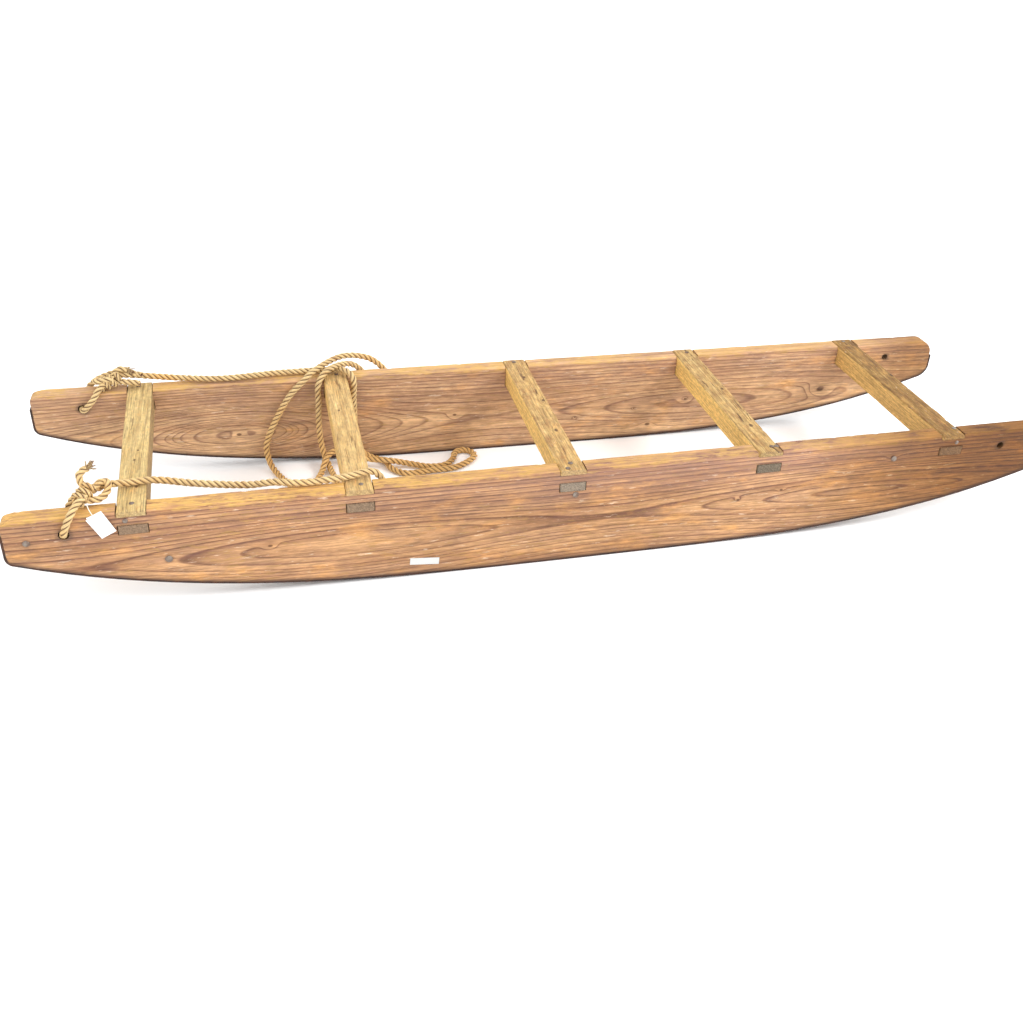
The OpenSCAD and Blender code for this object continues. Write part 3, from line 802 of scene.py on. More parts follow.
def finish_material(tree, colour, roughness, height, relief, ior=1.45, metallic=0.0):
    """The shader at the end: relief is in metres, and constants sit on the shader's own sockets."""
    bump = add(tree, "ShaderNodeBump", {"Height": height, "Distance": relief, "Strength": 1.0})
    shader = add(tree, "ShaderNodeBsdfPrincipled",
                 {"Base Color": colour, "Roughness": roughness, "Normal": bump, "IOR": ior,
                  "Metallic": metallic})
    add(tree, "ShaderNodeOutputMaterial", {"Surface": shader})


def toned(tones, gains):
    """The same colours, each channel multiplied by its gain."""
    return [tuple(min(1.0, c * g) for c, g in zip(t, gains)) + (1.0,) for t in tones]


def ring_field(tree, flat, plank, seed, pith, warp, figure, eye, knots):
    """How far each point is from the log's middle, in warped millimetres, and how deep in a knot's heart."""
    parts = add(tree, "ShaderNodeSeparateXYZ", {0: flat}).outputs
    # how the log's rings wander: more than half a metre along the grain for one slow wave
    slow_at = vector(tree, "MULTIPLY", flat, (1 / 420, 1 / 90, 1 / 95))
    slow = add(tree, "ShaderNodeTexNoise",
               {"Vector": slow_at, "W": seed, "Scale": 1.0, "Detail": 2.5, "Roughness": 0.45},
               noise_dimensions="4D")
    slow = calc(tree, "SUBTRACT", slow, 0.5)
    slow = calc(tree, "MULTIPLY", slow, warp)
    middle = vector(tree, "SUBTRACT", flat, (0.0, pith[0], pith[1]))
    middle = vector(tree, "MULTIPLY", middle, (0.0, 1.0, 1.0))
    radius = vector(tree, "LENGTH", middle)
    radius = calc(tree, "ADD", radius, slow)
    if figure:
        period, start, height = figure
        wave = calc(tree, "ADD", parts[0], -start)
        wave = calc(tree, "MULTIPLY", wave, math.tau / period)
        wave = calc(tree, "COSINE", wave)
        calm = ranged(tree, parts[2], 92.0, 150.0, -height, -0.1 * height)
        wave = calc(tree, "MULTIPLY", wave, calm)
        radius = calc(tree, "ADD", radius, wave)
    if eye:
        at, height, reach, rise, push = eye
        ring = vector(tree, "SUBTRACT", flat, (at, 0.0, height))
        ring = vector(tree, "MULTIPLY", ring, (1 / reach, 0.0, 1 / rise))
        ring = vector(tree, "LENGTH", ring)
        ring = calc(tree, "MULTIPLY", bell(tree, ring, 1.6), push)
        radius = calc(tree, "ADD", radius, ring)

    # knots push the rings aside and show their own dark heart
    heart = None
    face = (0.6, 0.0, 1.0) if plank else (0.6, 1.0, 0.0)
    squeezed = vector(tree, "MULTIPLY", flat, face)
    for at, height, width in knots:
        spot = (at * 0.6, 0.0, height) if plank else (at * 0.6, height, 0.0)
        off = vector(tree, "DISTANCE", squeezed, spot)
        near = calc(tree, "DIVIDE", off, width * 1.5)
        push = calc(tree, "MULTIPLY", bell(tree, near, 2.0), width * 1.4)
        radius = calc(tree, "ADD", radius, push)
        core = ranged(tree, off, width * 0.30, width * 0.62, 1.0, 0.0, interpolation_type="SMOOTHSTEP")
        if heart is not None:
            core = calc(tree, "MAXIMUM", heart, core)
        heart = core
    return radius, heart


def year_lines(tree, radius, spacing):
    """The strength of the dark summer wood, from the distance to the log's middle."""
    # years of unequal width
    years = add(tree, "ShaderNodeTexNoise", {"W": radius, "Scale": 0.03, "Detail": 2.0}, noise_dimensions="1D")
    years = calc(tree, "MULTIPLY", years, 30.0)
    years = calc(tree, "ADD", radius, years)
    years = calc(tree, "DIVIDE", years, spacing)
    phase = calc(tree, "FRACT", years)
    late = add(tree, "ShaderNodeValToRGB", {0: phase})
    stops = late.color_ramp.elements
    stops[0].position, stops[0].color = 0.0, (0.12, 0.12, 0.12, 1)
    stops[1].position, stops[1].color = 1.0, (0.12, 0.12, 0.12, 1)
    for at, value in ((0.10, 0.0), (0.52, 0.10), (0.74, 0.38), (0.87, 1.0), (0.94, 0.9)):
        stop = stops.new(at)
        stop.color = (value, value, value, 1)
    return late


def iron_stains(tree, colour, flat, plank, dashes, stains):
    """Dark ragged spots where iron and rope bled into the wood."""
    face = (1.0, 0.0, 1.0) if plank else (1.0, 1.0, 0.0)
    level = vector(tree, "MULTIPLY", flat, face)
    torn = calc(tree, "MULTIPLY", dashes, 14.0)
    for at, height, reach in stains:
        spot = (at, 0.0, height) if plank else (at, height, 0.0)
        off = vector(tree, "DISTANCE", level, spot)
        off = calc(tree, "ADD", off, torn)
        off = ranged(tree, off, reach + 5.0, reach + 11.0, 0.62, 0.0)
        colour = mixed(tree, off, colour, linear(IRON_STAIN))
    return colour


def wood_material(name, grain, tones, seed, pith, spacing, warp, knots, figure=None, eye=None,
                  ring_strength=0.8, low_lines=1.0, worn_top=1.0, mottle=0.5, weather=0.3, stains=(), tints=(),
                  side=None, half=2000.0, cracks=0.0, sawn_gains=(1.0, 1.0, 1.0)):
    """Old sawn softwood, planed long ago and left to the weather.

    The eye sees yearly rings from the side: pale spring wood, and thin dark summer wood that
    stands proud where weather has eaten the soft wood away, matt all over. grain is the axis
    that the fibres follow. pith is the log's middle across the grain, spacing the width of a
    year, figure a slow wave (its length, start and height) that closes the rings into long
    pointed shapes, and eye a place (along, height, reach, rise and push) where they close round
    a knot. side is the tone of a crossbar's flanks, painted light and shade, and half its length
    to either end. All sizes are in millimetres.
    """
    material, tree = new_material(name)
    light, mid, dark, worn, grey = tones
    plank = grain == "X"
    coords = add(tree, "ShaderNodeTexCoord")
    place = vector(tree, "SCALE", coords.outputs["Object"], 1 / MM)
    parts = add(tree, "ShaderNodeSeparateXYZ", {0: place}).outputs
    along, across, up = (parts[0], parts[1], parts[2]) if plank else (parts[1], parts[0], parts[2])
    flat = add(tree, "ShaderNodeCombineXYZ", {0: along, 1: across, 2: up})
    normal = add(tree, "ShaderNodeSeparateXYZ", {0: coords.outputs["Normal"]}).outputs

    radius, heart = ring_field(tree, flat, plank, seed, pith, warp, figure, eye, knots)
    late = year_lines(tree, radius, spacing)

    # fibres about two millimetres wide and a hand long, broad streaks, blotches, and short marks
    clouds = []
    for sizes, detail, shift in PLANK_CLOUDS if plank else BAR_CLOUDS:
        at = vector(tree, "MULTIPLY", flat, tuple(1 / size for size in sizes))
        clouds.append(add(tree, "ShaderNodeTexNoise",
                          {"Vector": at, "W": seed + shift, "Scale": 1.0, "Detail": detail, "Roughness": 0.64},
                          noise_dimensions="4D"))
    fibre, broad, patch, dashes = clouds
    patches = add(tree, "ShaderNodeSeparateColor", {0: patch.outputs["Color"]}).outputs
    marks = add(tree, "ShaderNodeSeparateColor", {0: dashes.outputs["Color"]}).outputs

    ground = ranged(tree, broad, 0.34, 0.66)
    high = ranged(tree, up, 70.0, 130.0, 0.0, 0.4 if plank else 0.0)
    ground = calc(tree, "ADD", ground, high, use_clamp=True)
    ground = mixed(tree, ground, light, mid)
    fade = ranged(tree, patch, 0.3, 0.6, 0.65, 1.0)
    lines = calc(tree, "MULTIPLY", late, fade)
    lower = ranged(tree, up, 62.0, 92.0, low_lines * ring_strength, ring_strength)
    lines = calc(tree, "MULTIPLY", lines, lower)
    colour = mixed(tree, lines, ground, dark)

    # warm patches where the resin came up, and pale scuffs
    glow = ranged(tree, patches[1], 0.54, 0.68, 0.0, 0.5)
    colour = mixed(tree, glow, colour, linear(RESIN))
    scuff = ranged(tree, marks[2], 0.61, 0.69, 0.0, 0.65)
    colour = mixed(tree, scuff, colour, linear(SCUFF))

    # grime that stays in patches
    top = ranged(tree, normal[2], 0.25, 0.8)
    grime = ranged(tree, patch, 0.44, 0.62, 0.0, weather)
    if not plank:
        grime = calc(tree, "MULTIPLY", grime, top)
    colour = mixed(tree, grime, colour, grey)

    # along the plank: how bright the wood is, how far the bare edge shows, and how thick the film is
    if tints:
        ends = ranged(tree, along, -GRAIN_END, GRAIN_END)
        run = add(tree, "ShaderNodeValToRGB", {0: ends})
        for k, (at, bright, bare, film) in enumerate(tints):
            share = (at + GRAIN_END) / (2 * GRAIN_END)
            stop = run.color_ramp.elements[k] if k < 2 else run.color_ramp.elements.new(share)
            stop.position, stop.color = share, (bright / 2, bare, film, 1.0)
        run = add(tree, "ShaderNodeSeparateColor", {0: run}).outputs
        # a mauve film under the top edge, where hands and loads rubbed
        haze = ranged(tree, up, 105.0, 160.0)
        haze = calc(tree, "MULTIPLY", haze, run[2])
        torn = ranged(tree, dashes, 0.38, 0.6, 1.0, 0.25)
        haze = calc(tree, "MULTIPLY", haze, torn)
        colour = mixed(tree, haze, colour, linear(FILM))

    # rubbed edges and tops, where fresh pale wood shows through in a ragged band
    lift = ranged(tree, up, SLED_H - 16, SLED_H - 1, -0.35, 0.9)
    rubbed = calc(tree, "MAXIMUM", top, lift)
    ragged = ranged(tree, dashes, 0.36, 0.62, 0.42, -0.7)
    rubbed = calc(tree, "ADD", rubbed, ragged)
    brown = ranged(tree, patches[2], 0.46, 0.62, 0.0, mottle)
    rubbed = calc(tree, "SUBTRACT", rubbed, brown, use_clamp=True)
    rubbed = calc(tree, "MULTIPLY", rubbed, worn_top, use_clamp=True)
    if tints:
        rubbed = calc(tree, "MULTIPLY", rubbed, run[1])
    colour = mixed(tree, rubbed, colour, worn)

    # painted light on the crossbars' flanks: a brighter golden tone where light falls on the sides, darkened as
    # painted shadow on the front crossbar
    if side:
        flank_light = calc(tree, "ABSOLUTE", normal[0])
        flank_light = ranged(tree, flank_light, 0.6, 0.9, 0.0, 0.85)
        colour = mixed(tree, flank_light, colour, side)
    # drying cracks along the tops
    if cracks:
        split_at = vector(tree, "MULTIPLY", flat, (1 / 85, 1 / 6.5, 1 / 30))
        split = add(tree, "ShaderNodeTexNoise",
                    {"Vector": split_at, "W": seed + 17, "Scale": 1.0, "Detail": 3.0, "Distortion": 1.2},
                    noise_dimensions="4D")
        split = ranged(tree, split, 0.62, 0.66, 0.0, cracks)
        split = calc(tree, "MULTIPLY", split, top)
        dark_line = linear(CRACK)
        colour = mixed(tree, split, colour, dark_line)
    if heart is not None:
        deep = calc(tree, "MULTIPLY", heart, 0.8)
        colour = mixed(tree, deep, colour, linear(KNOT))

    colour = iron_stains(tree, colour, flat, plank, dashes, stains)

    # sawn ends drink dirt and go grey, the lips less than the tenons
    ending = calc(tree, "ABSOLUTE", normal[0] if plank else normal[1])
    ending = ranged(tree, ending, 0.7, 0.9)
    reach = calc(tree, "ABSOLUTE", along)
    reach = ranged(tree, reach, half - 2.5, half - 0.5)
    ending = calc(tree, "MAXIMUM", ending, reach)
    below = ranged(tree, up, SLED_H - 14, SLED_H - 6, 1.0, 0.35)
    ending = calc(tree, "MULTIPLY", ending, below)
    colour = mixed(tree, ending, colour, toned([linear(SAWN_END)], sawn_gains)[0])

    # dirt drawn into the lowest edge, beside the iron, and painted shade along that edge
    if plank:
        rise = add(tree, "ShaderNodeAttribute", attribute_name="rise")
        soot_and_shade = calc(tree, "MULTIPLY", dashes, 12.0)
        soot_and_shade = calc(tree, "SUBTRACT", rise.outputs["Fac"], soot_and_shade)
        soot_and_shade = ranged(tree, soot_and_shade, -4.5, 1.5, 0.8, 0.0)
        colour = mixed(tree, soot_and_shade, colour, linear(SOOT_AND_SHADE))

    # fibre by fibre, lighter and darker
    least, most = (0.66, 1.17) if plank else (0.56, 1.22)
    shade = ranged(tree, fibre, 0.34, 0.66, least, most)
    if tints:
        doubled = calc(tree, "MULTIPLY", run[0], 2.0)
        shade = calc(tree, "MULTIPLY", shade, doubled)
        # oil and handling leave the darker wood browner as well
        oiled = calc(tree, "MINIMUM", doubled, 1.0)
        green = calc(tree, "POWER", oiled, 0.35)
        blue = calc(tree, "POWER", oiled, 1.1)
        oiled = add(tree, "ShaderNodeCombineXYZ", {0: 1.0, 1: green, 2: blue})
        colour = vector(tree, "MULTIPLY", colour, oiled)
    colour = vector(tree, "SCALE", colour, shade)
    speck = ranged(tree, dashes, 0.32, 0.6, 0.66, 1.08)
    colour = vector(tree, "SCALE", colour, speck)

    # the dark lines, the fibres and the marks stand up to 0.7 mm proud
    relief = calc(tree, "MULTIPLY", late, 0.7)
    relief = calc(tree, "ADD", relief, fibre)
    relief = calc(tree, "ADD", relief, dashes)
    rough = ranged(tree, fibre, 0.3, 0.7, 0.85, 0.68)
    finish_material(tree, colour, rough, relief, 0.0007)
    return material


def straw_material(pale, dull, gold_and_shade, shadow):
    """Rice straw twisted and laid into rope.

    The eye sees dull yellow stalks that run along each strand, brown painted shade in the grooves, and
    no gloss.
    """
    material, tree = new_material("straw_rope")
    run = add(tree, "ShaderNodeAttribute", attribute_name="run")
    section = add(tree, "ShaderNodeAttribute", attribute_name="section")
    core = add(tree, "ShaderNodeAttribute", attribute_name="core")
    coords = add(tree, "ShaderNodeTexCoord")
    off = vector(tree, "DISTANCE", coords.outputs["Object"], core.outputs["Vector"])
    girth = add(tree, "ShaderNodeAttribute", attribute_name="girth")
    # painted shade: brown between the strands, set by how far a point lies from the rope's middle
    groove_shade = calc(tree, "DIVIDE", off, girth.outputs["Fac"])
    groove_shade = ranged(tree, groove_shade, 0.31, 0.49, interpolation_type="SMOOTHSTEP")
    twist = calc(tree, "MULTIPLY", run.outputs["Fac"], -120.0)
    stalk_at = add(tree, "ShaderNodeVectorRotate",
                   {"Vector": section.outputs["Vector"], "Angle": twist}, rotation_type="Z_AXIS")
    # stalks about a millimetre wide
    stalk_at = vector(tree, "SCALE", stalk_at, 1100.0)
    length = calc(tree, "MULTIPLY", run.outputs["Fac"], 22.0)
    length = add(tree, "ShaderNodeCombineXYZ", {2: length})
    stalk_at = vector(tree, "ADD", stalk_at, length)
    stalks = add(tree, "ShaderNodeTexNoise",
                 {"Vector": stalk_at, "Scale": 1.0, "Detail": 3.0, "Roughness": 0.6})
    ramp = add(tree, "ShaderNodeValToRGB", {0: stalks})
    stops = ramp.color_ramp.elements
    stops[0].position, stops[0].color = 0.33, dull
    stops[1].position, stops[1].color = 0.64, pale
    stop = stops.new(0.47)
    stop.color = tuple((a + 2 * b) / 3 for a, b in zip(dull, pale))
    # deeper gold in random patches, and towards the floor as painted shade where the sled shades the low rope
    low = add(tree, "ShaderNodeSeparateXYZ", {0: core.outputs["Vector"]}).outputs[2]
    low = ranged(tree, low, 0.03, 0.15, 0.42, 0.0)
    patch = add(tree, "ShaderNodeTexNoise", {"Vector": coords.outputs["Object"], "Scale": 14.0, "Detail": 2.0})
    patch = ranged(tree, patch, 0.5, 0.7, 0.0, 0.4)
    patch = calc(tree, "MAXIMUM", patch, low)
    colour = mixed(tree, patch, ramp, gold_and_shade)
    colour = mixed(tree, groove_shade, shadow, colour)
    finish_material(tree, colour, 0.72, stalks, 0.0006)
    return material


def iron_material(name, ground, rust, seed, shine=0.35):
    """Forged iron, blackened by age or rubbed bare, with brown rust in patches.

    The eye sees a dark half-metal with a dull sheen where it is bare, and matt brown where it
    has rusted. The grit is drawn about a millimetre wide.
    """
    material, tree = new_material(name)
    coords = add(tree, "ShaderNodeTexCoord")
    cloud = add(tree, "ShaderNodeTexNoise",
                {"Vector": coords.outputs["Object"], "W": seed, "Scale": 60.0, "Detail": 6.0,
                 "Roughness": 0.65}, noise_dimensions="4D")
    grit = add(tree, "ShaderNodeTexNoise", {"Vector": coords.outputs["Object"], "Scale": 900.0, "Detail": 3.0})
    share = ranged(tree, cloud, 0.42, 0.66)
    colour = mixed(tree, share, ground, rust)
    rough = ranged(tree, share, 0.0, 1.0, 0.5, 0.85)
    relief = calc(tree, "ADD", cloud, grit)
    finish_material(tree, colour, rough, relief, 0.0003, ior=1.5, metallic=shine)
    return material


def card_material(name, tone):
    """Uncoated card, paper or cotton: nearly white and matt, with faint clouds and fibres."""
    material, tree = new_material(name)
    coords = add(tree, "ShaderNodeTexCoord")
    fibres = add(tree, "ShaderNodeTexNoise",
                 {"Vector": coords.outputs["Object"], "Scale": 1400.0, "Detail": 2.0})
    cloud = add(tree, "ShaderNodeTexNoise", {"Vector": coords.outputs["Object"], "Scale": 55.0, "Detail": 2.0})
    share = ranged(tree, cloud, 0.35, 0.75, 0.0, 0.5)
    colour = mixed(tree, share, tone, tuple(0.93 * c for c in tone))
    finish_material(tree, colour, 0.8, fibres, 0.00008)
    return material


# ---- settings ----

def tone(name, description, hex_colour):
    """A colour that the user may change."""
    return bpy.props.FloatVectorProperty(name=name, description=description, size=4, subtype="COLOR", min=0.0,
                                         max=1.0, default=linear(hex_colour))


def span(name, description, size):
    """A length that the user may change, in metres."""
    return bpy.props.FloatProperty(name=name, description=description, default=size, min=0.0, unit="LENGTH",
                                   subtype="DISTANCE")


class SledRopeSettings(bpy.types.PropertyGroup):
    diameter: span("Rope diameter", "Thickness of the straw rope over its three strands", 0.012)
    lay: span("Lay length", "Length of rope in which a strand goes once round", 0.033)
    straws: bpy.props.IntProperty(name="Loose straws", description="How many straws stand out of the pull rope",
                                  default=520, min=0)
    pale: tone("Pale straw", "Straw that the light has bleached", "#E3C992")
    dull: tone("Dull straw", "Older straw between the pale stalks", "#A0764A")
    # partly painted shade: this deeper gold goes on the low rope under the sled, and in random patches
    gold_and_shade: tone("Golden straw", "Straw that lay in the shade", "#D89A3E")
    # painted shade: this brown is painted into the grooves between the strands
    shadow: tone("Grooves", "Dirt between the strands", "#5C3A2A")


class SledWoodSettings(bpy.types.PropertyGroup):
    plank_wear: span("Plank edge wear", "Largest rounding of the planks' upper edges", 0.0065)
    bar_wear: span("Crossbar edge wear", "Largest rounding of the oldest crossbars' edges", 0.010)
    light: tone("Plank, spring wood", "The pale wood between two rings", "#DCA474")
    mid: tone("Plank, streaks", "The browner streaks of the same wood", "#B8825A")
    dark: tone("Plank, summer wood", "The thin dark lines", "#66382A")
    worn: tone("Plank, rubbed edge", "Bare wood on the top edges", "#E2B468")
    grey: tone("Plank, grime", "Weathered film in patches", "#8A6A5E")
    bar_light: tone("Crossbar, spring wood", "The pale wood of the crossbars", "#D8B070")
    bar_mid: tone("Crossbar, streaks", "The crossbars' yellower streaks", "#C09250")
    bar_dark: tone("Crossbar, summer wood", "The crossbars' thin dark lines", "#80542A")
    bar_worn: tone("Crossbar, rubbed edge", "Bare wood on the crossbars' edges", "#DAB474")
    bar_grey: tone("Crossbar, grime", "Dirt on the crossbars' tops", "#8A5830")
    # painted light: the brighter golden tone painted on the crossbars' sides
    bar_side_light: tone("Crossbar, side", "The crossbars' smooth golden sides", "#F2C672")


class SledTrimSettings(bpy.types.PropertyGroup):
    lip_head: span("Lip nail head", "Diameter of the small nail heads", 0.0084)
    face_head: span("Face nail head", "Diameter of the big nail heads", 0.0120)
    shoe_iron: tone("Shoe iron", "The strip under each plank", "#2E2422")
    shoe_rust: tone("Shoe rust", "Rust on the strip", "#5A3A2A")
    nail_iron: tone("Nail iron", "The nail heads", "#8E857C")
    nail_rust: tone("Nail rust", "Rust on the nail heads", "#6B4A38")
    card: tone("Tag card", "The blank hanging tag", "#F7F7F5")
    label: tone("Label paper", "The blank label", "#C9CBC9")
    thread: tone("Tag thread", "The cotton thread", "#E8E2D4")


class SledStageSettings(bpy.types.PropertyGroup):
    key_power: bpy.props.FloatProperty(name="Key light", description="Power of the big soft light",
                                       default=66.0, unit="POWER")
    sky: bpy.props.FloatProperty(name="Room light", description="Brightness of the white room", default=1.40,
                                 subtype="FACTOR")
    floor: tone("Floor", "Colour of the plain floor", "#FFFFFF")


# ---- operators ----

class SLED_OT_stage(bpy.types.Operator):
    """Makes the pale floor, the soft lights and the camera"""
    bl_idname = "sled.stage"
    bl_label = "Stage"

    def execute(self, context):
        scene = context.scene
        settings = scene.sled_stage
        bpy.ops.mesh.primitive_plane_add(size=FLOOR_SIZE, location=(0, 0, 0))
        floor = context.object
        floor.name = "studio_floor"
        material, tree = new_material("studio_floor")
        shader = add(tree, "ShaderNodeBsdfPrincipled", {"Base Color": tuple(settings.floor), "Roughness": 0.9})
        add(tree, "ShaderNodeOutputMaterial", {"Surface": shader})
        floor.data.materials.append(material)

        world = bpy.data.worlds.new("white_room")
        world.use_nodes = True
        world.node_tree.nodes["Background"].inputs[0].default_value = (1.0, 1.0, 1.0, 1.0)
        world.node_tree.nodes["Background"].inputs[1].default_value = settings.sky
        scene.world = world
        scene.view_settings.view_transform = "Standard"

        for name, place, size, share in LIGHTS:
            lamp = bpy.data.lights.new(name, "AREA")
            lamp.shape = "DISK"
            lamp.size = size
            lamp.energy = settings.key_power * share
            obj = bpy.data.objects.new(name, lamp)
            obj.location = place
            obj.rotation_euler = (Vector(LIT_POINT) - Vector(place)).to_track_quat("-Z", "Y").to_euler()
            scene.collection.objects.link(obj)

        yaw, pitch, roll = (math.radians(a) for a in (CAMERA_YAW, CAMERA_PITCH, CAMERA_ROLL))
        ahead = Vector((math.sin(yaw) * math.cos(pitch), math.cos(yaw) * math.cos(pitch), -math.sin(pitch)))
        right = Vector((math.cos(yaw), -math.sin(yaw), 0))
        up = right.cross(ahead)
        right, up = right * math.cos(roll) + up * math.sin(roll), up * math.cos(roll) - right * math.sin(roll)
        camera = bpy.data.objects.new("camera", bpy.data.cameras.new("camera"))
        camera.data.sensor_width = CAMERA_SENSOR
        camera.data.lens = CAMERA_LENS
        camera.data.clip_end = CAMERA_FAR
        turn = Matrix((right, up, -ahead)).transposed().to_4x4()
        camera.matrix_world = Matrix.Translation(CAMERA_AT) @ turn
        scene.collection.objects.link(camera)
        scene.camera = camera
        return {"FINISHED"}


class SLED_OT_ropes(bpy.types.Operator):
    """Lays the pull rope, its two ties and the tag on one of them"""
    bl_idname = "sled.ropes"
    bl_label = "Pull Rope, Ties and Tag"

    def execute(self, context):
        settings = context.scene.sled_rope
        tones = [tuple(c) for c in (settings.pale, settings.dull, settings.gold_and_shade, settings.shadow)]
        straw = straw_material(*tones)
        thick, lay = settings.diameter, settings.lay
        for name, node, loops, ends, seed in (
                ("left_tie", "rope_tie_left", (LEFT_LOOP, LEFT_BOW, LEFT_JOIN, LEFT_END), LEFT_WRAP, 5),
                ("right_tie", "rope_tie_right", (RIGHT_LOOP, RIGHT_BIGHT, RIGHT_END), RIGHT_WRAP, 9)):
            routes = [smooth_route(points) for points in loops]
            turns = [smooth_route(wrap_route(ends, WRAP_TURNS, WRAP_R))]
            fans = frayed_end(routes[-1], FRAY_STRAWS, seed)
            parts = [lay_rope(name, routes, thick * TIE_SHARE, lay, 90, seed, straw),
                     lay_rope(name + "_wraps", turns, thick * WRAP_SHARE, lay * 0.8, 30, seed + 1, straw),
                     lay_rope(name + "_fray", fans, FRAY_D, lay * 0.4, 0, seed + 2, straw)]
            bm = bmesh.new()
            for part in parts:
                bm.from_mesh(part.data)
            bm.to_mesh(parts[0].data)
            bm.free()
            for part in parts[1:]:
                bpy.data.objects.remove(part)
            settle(parts[0], node, "straw")
        tag = settle(make_tag("hanging_tag"), "price_tag", "card",
                     card_material("tag_card", tuple(context.scene.sled_trim.card)))
        route = smooth_route(ROPE_ROUTE)
        rope = settle(lay_rope("pull_rope_laid", [route], thick, lay, settings.straws, 3, straw), "pull_rope",
                      "straw")
        return {"FINISHED"}


class SLED_OT_planks(bpy.types.Operator):
    """Makes the two runner planks"""
    bl_idname = "sled.planks"
    bl_label = "Runner Planks"

    def execute(self, context):
        wood = context.scene.sled_wood
        tones = [tuple(c) for c in (wood.light, wood.mid, wood.dark, wood.worn, wood.grey)]
        left = wood_material(
            "weathered_cedar_left", "X",
            toned(tones[:3], (0.84, 0.92, 0.93)) + toned(tones[3:], (0.95, 0.92, 0.86)), 3.0,
            (-212.0, 82.0), 7.6, 8.0, LEFT_KNOTS, figure=(900.0, -376.0, 11.0), ring_strength=1.0,
            low_lines=0.75, mottle=0.7, weather=0.35, stains=LEFT_STAINS, tints=LEFT_TINTS)
        right = wood_material(
            "weathered_cedar_right", "X",
            toned(tones[:3], (1.06, 1.30, 1.46)) + toned(tones[3:], (0.95, 0.95, 0.95)), 23.0,
            (236.0, 74.0), 6.5, 10.0, RIGHT_KNOTS, figure=(1000.0, 420.0, 10.0),
            eye=(-560.0, 74.0, 170.0, 62.0, -46.0), ring_strength=0.75, low_lines=0.9, mottle=0.85,
            weather=0.3, stains=RIGHT_STAINS, tints=RIGHT_TINTS)
        for name, side, node, material in (("left_plank", LEFT, "runner_left", left),
                                           ("right_plank", RIGHT, "runner_right", right)):
            settle(make_plank(name, side, wood.plank_wear / MM), node, "weathered_wood", material)
        return {"FINISHED"}


class SLED_OT_crossbars(bpy.types.Operator):
    """Makes the five crossbars"""
    bl_idname = "sled.crossbars"
    bl_label = "Crossbars"

    def execute(self, context):
        wood = context.scene.sled_wood
        tones = [tuple(c) for c in (wood.bar_light, wood.bar_mid, wood.bar_dark, wood.bar_worn, wood.bar_grey)]
        for i, (old, gains, flank_light, ends, knots) in enumerate(BAR_LOOKS, 1):
            # each crossbar's flank gains paint light on its sides, and painted shadow on the front crossbar's
            # side
            made = wood_material(f"bare_pine_{i}", "Y", toned(tones, gains), 41.0 + i, (bar_x(i) - 30.0, 120.0),
                                 5.5, 12.0, knots, ring_strength=0.4, worn_top=0.4, mottle=0.4, weather=old,
                                 side=toned([wood.bar_side_light], flank_light)[0], half=bar_half(i),
                                 cracks=0.35 + 0.6 * old, sawn_gains=ends)
            settle(make_crossbar(i, wood.bar_wear / MM), f"crossbar_{i}", "pale_wood", made)
        return {"FINISHED"}


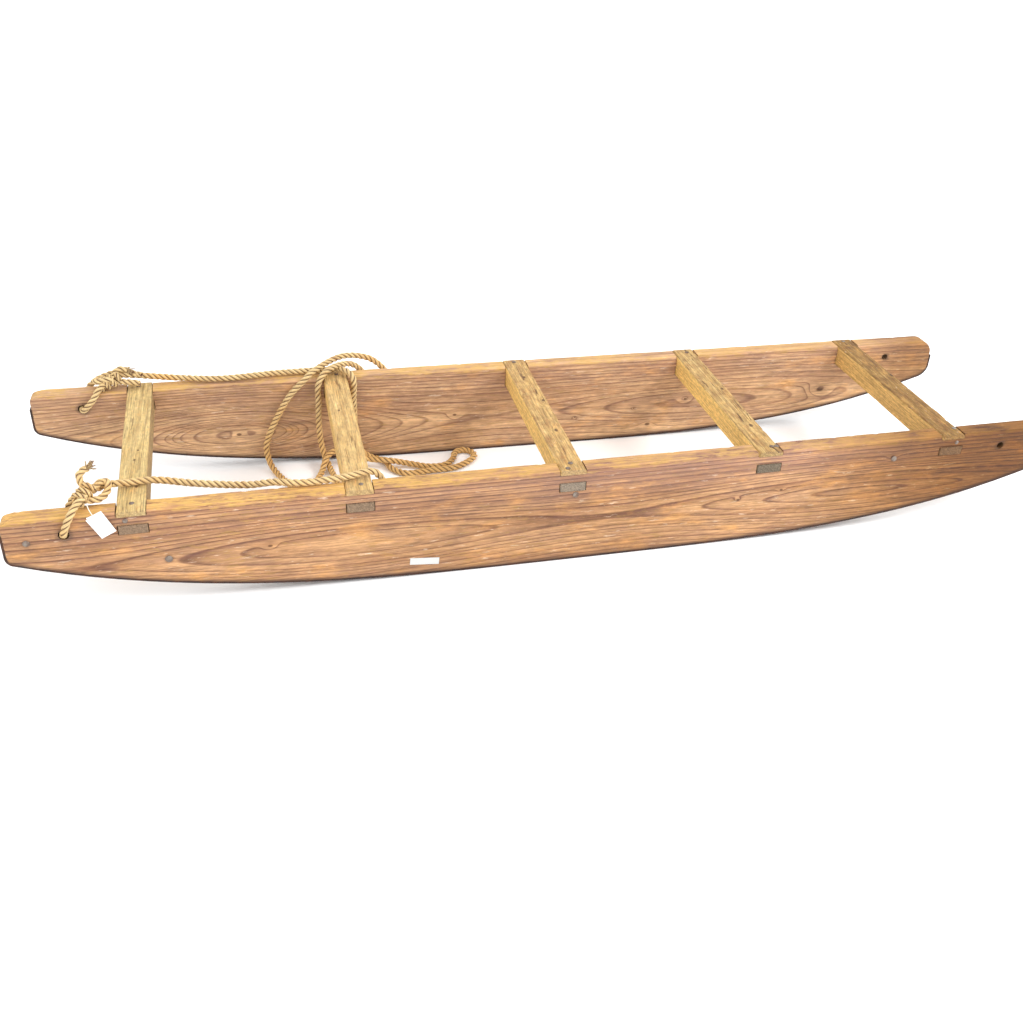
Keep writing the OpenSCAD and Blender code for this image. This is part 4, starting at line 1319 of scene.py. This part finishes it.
class SLED_OT_ironwork(bpy.types.Operator):
    """Finishes the iron shoes and makes the nail heads"""
    bl_idname = "sled.ironwork"
    bl_label = "Ironwork"

    def execute(self, context):
        trim = context.scene.sled_trim
        shoe = iron_material("old_shoe_iron", tuple(trim.shoe_iron), tuple(trim.shoe_rust), 1.0)
        nail = iron_material("old_nail_iron", tuple(trim.nail_iron), tuple(trim.nail_rust), 4.0, shine=0.8)
        for node in ("shoe_left", "shoe_right", "shoe_nails_left", "shoe_nails_right"):
            dress(node, shoe)
        up = Vector((0, 0, 1))
        for node, side, head, seed in (("lip_nails_left", 0, trim.lip_head, 11),
                                       ("lip_nails_right", 0, trim.lip_head, 12),
                                       ("pin_nails_left", LEFT, trim.lip_head, 13),
                                       ("pin_nails_right", RIGHT, trim.lip_head, 14),
                                       ("face_nails_left", LEFT, trim.face_head, 15)):
            out = (plank_place(side).to_3x3() @ Vector((0, side, 0))).normalized() if side else up
            heads = make_heads(node + "_heads", node, out, head, head * DOME_SHARE, seed, nail)
            settle(heads, node, "worn_nails")
        return {"FINISHED"}


class SLED_OT_paper(bpy.types.Operator):
    """Gives the tag's thread and the blank label their finish"""
    bl_idname = "sled.paper"
    bl_label = "Thread and Label"

    def execute(self, context):
        trim = context.scene.sled_trim
        dress("paper_label", card_material("label_paper", tuple(trim.label)))
        dress("tag_thread", card_material("cotton_thread", tuple(trim.thread)))
        return {"FINISHED"}


class SLED_PT_panel(bpy.types.Panel):
    """Lists the sled's pieces and their settings"""
    bl_idname = "SLED_PT_panel"
    bl_label = "Old Wooden Sled"
    bl_space_type = "VIEW_3D"
    bl_region_type = "UI"
    bl_category = "Sled"

    def draw(self, context):
        layout = self.layout
        for name in SETTINGS:
            settings = getattr(context.scene, name)
            box = layout.box()
            for key in settings.__annotations__:
                box.prop(settings, key)
        for operator in OPERATORS:
            layout.operator(operator.bl_idname)


OPERATORS = (SLED_OT_stage, SLED_OT_ropes, SLED_OT_planks, SLED_OT_crossbars, SLED_OT_ironwork, SLED_OT_paper)
SETTINGS = {"sled_rope": SledRopeSettings, "sled_wood": SledWoodSettings, "sled_trim": SledTrimSettings,
            "sled_stage": SledStageSettings}
CLASSES = (*SETTINGS.values(), *OPERATORS, SLED_PT_panel)


def register():
    for cls in CLASSES:
        bpy.utils.register_class(cls)
    for name, cls in SETTINGS.items():
        setattr(bpy.types.Scene, name, bpy.props.PointerProperty(type=cls))


def unregister():
    for name in reversed(SETTINGS):
        delattr(bpy.types.Scene, name)
    for cls in reversed(CLASSES):
        bpy.utils.unregister_class(cls)


def main():
    """Registers the settings and builds the whole sled on its stage."""
    register()
    bpy.ops.sled.stage()
    bpy.ops.sled.ropes()
    bpy.ops.sled.planks()
    bpy.ops.sled.crossbars()
    bpy.ops.sled.ironwork()
    bpy.ops.sled.paper()


if __name__ == "__main__":
    main()
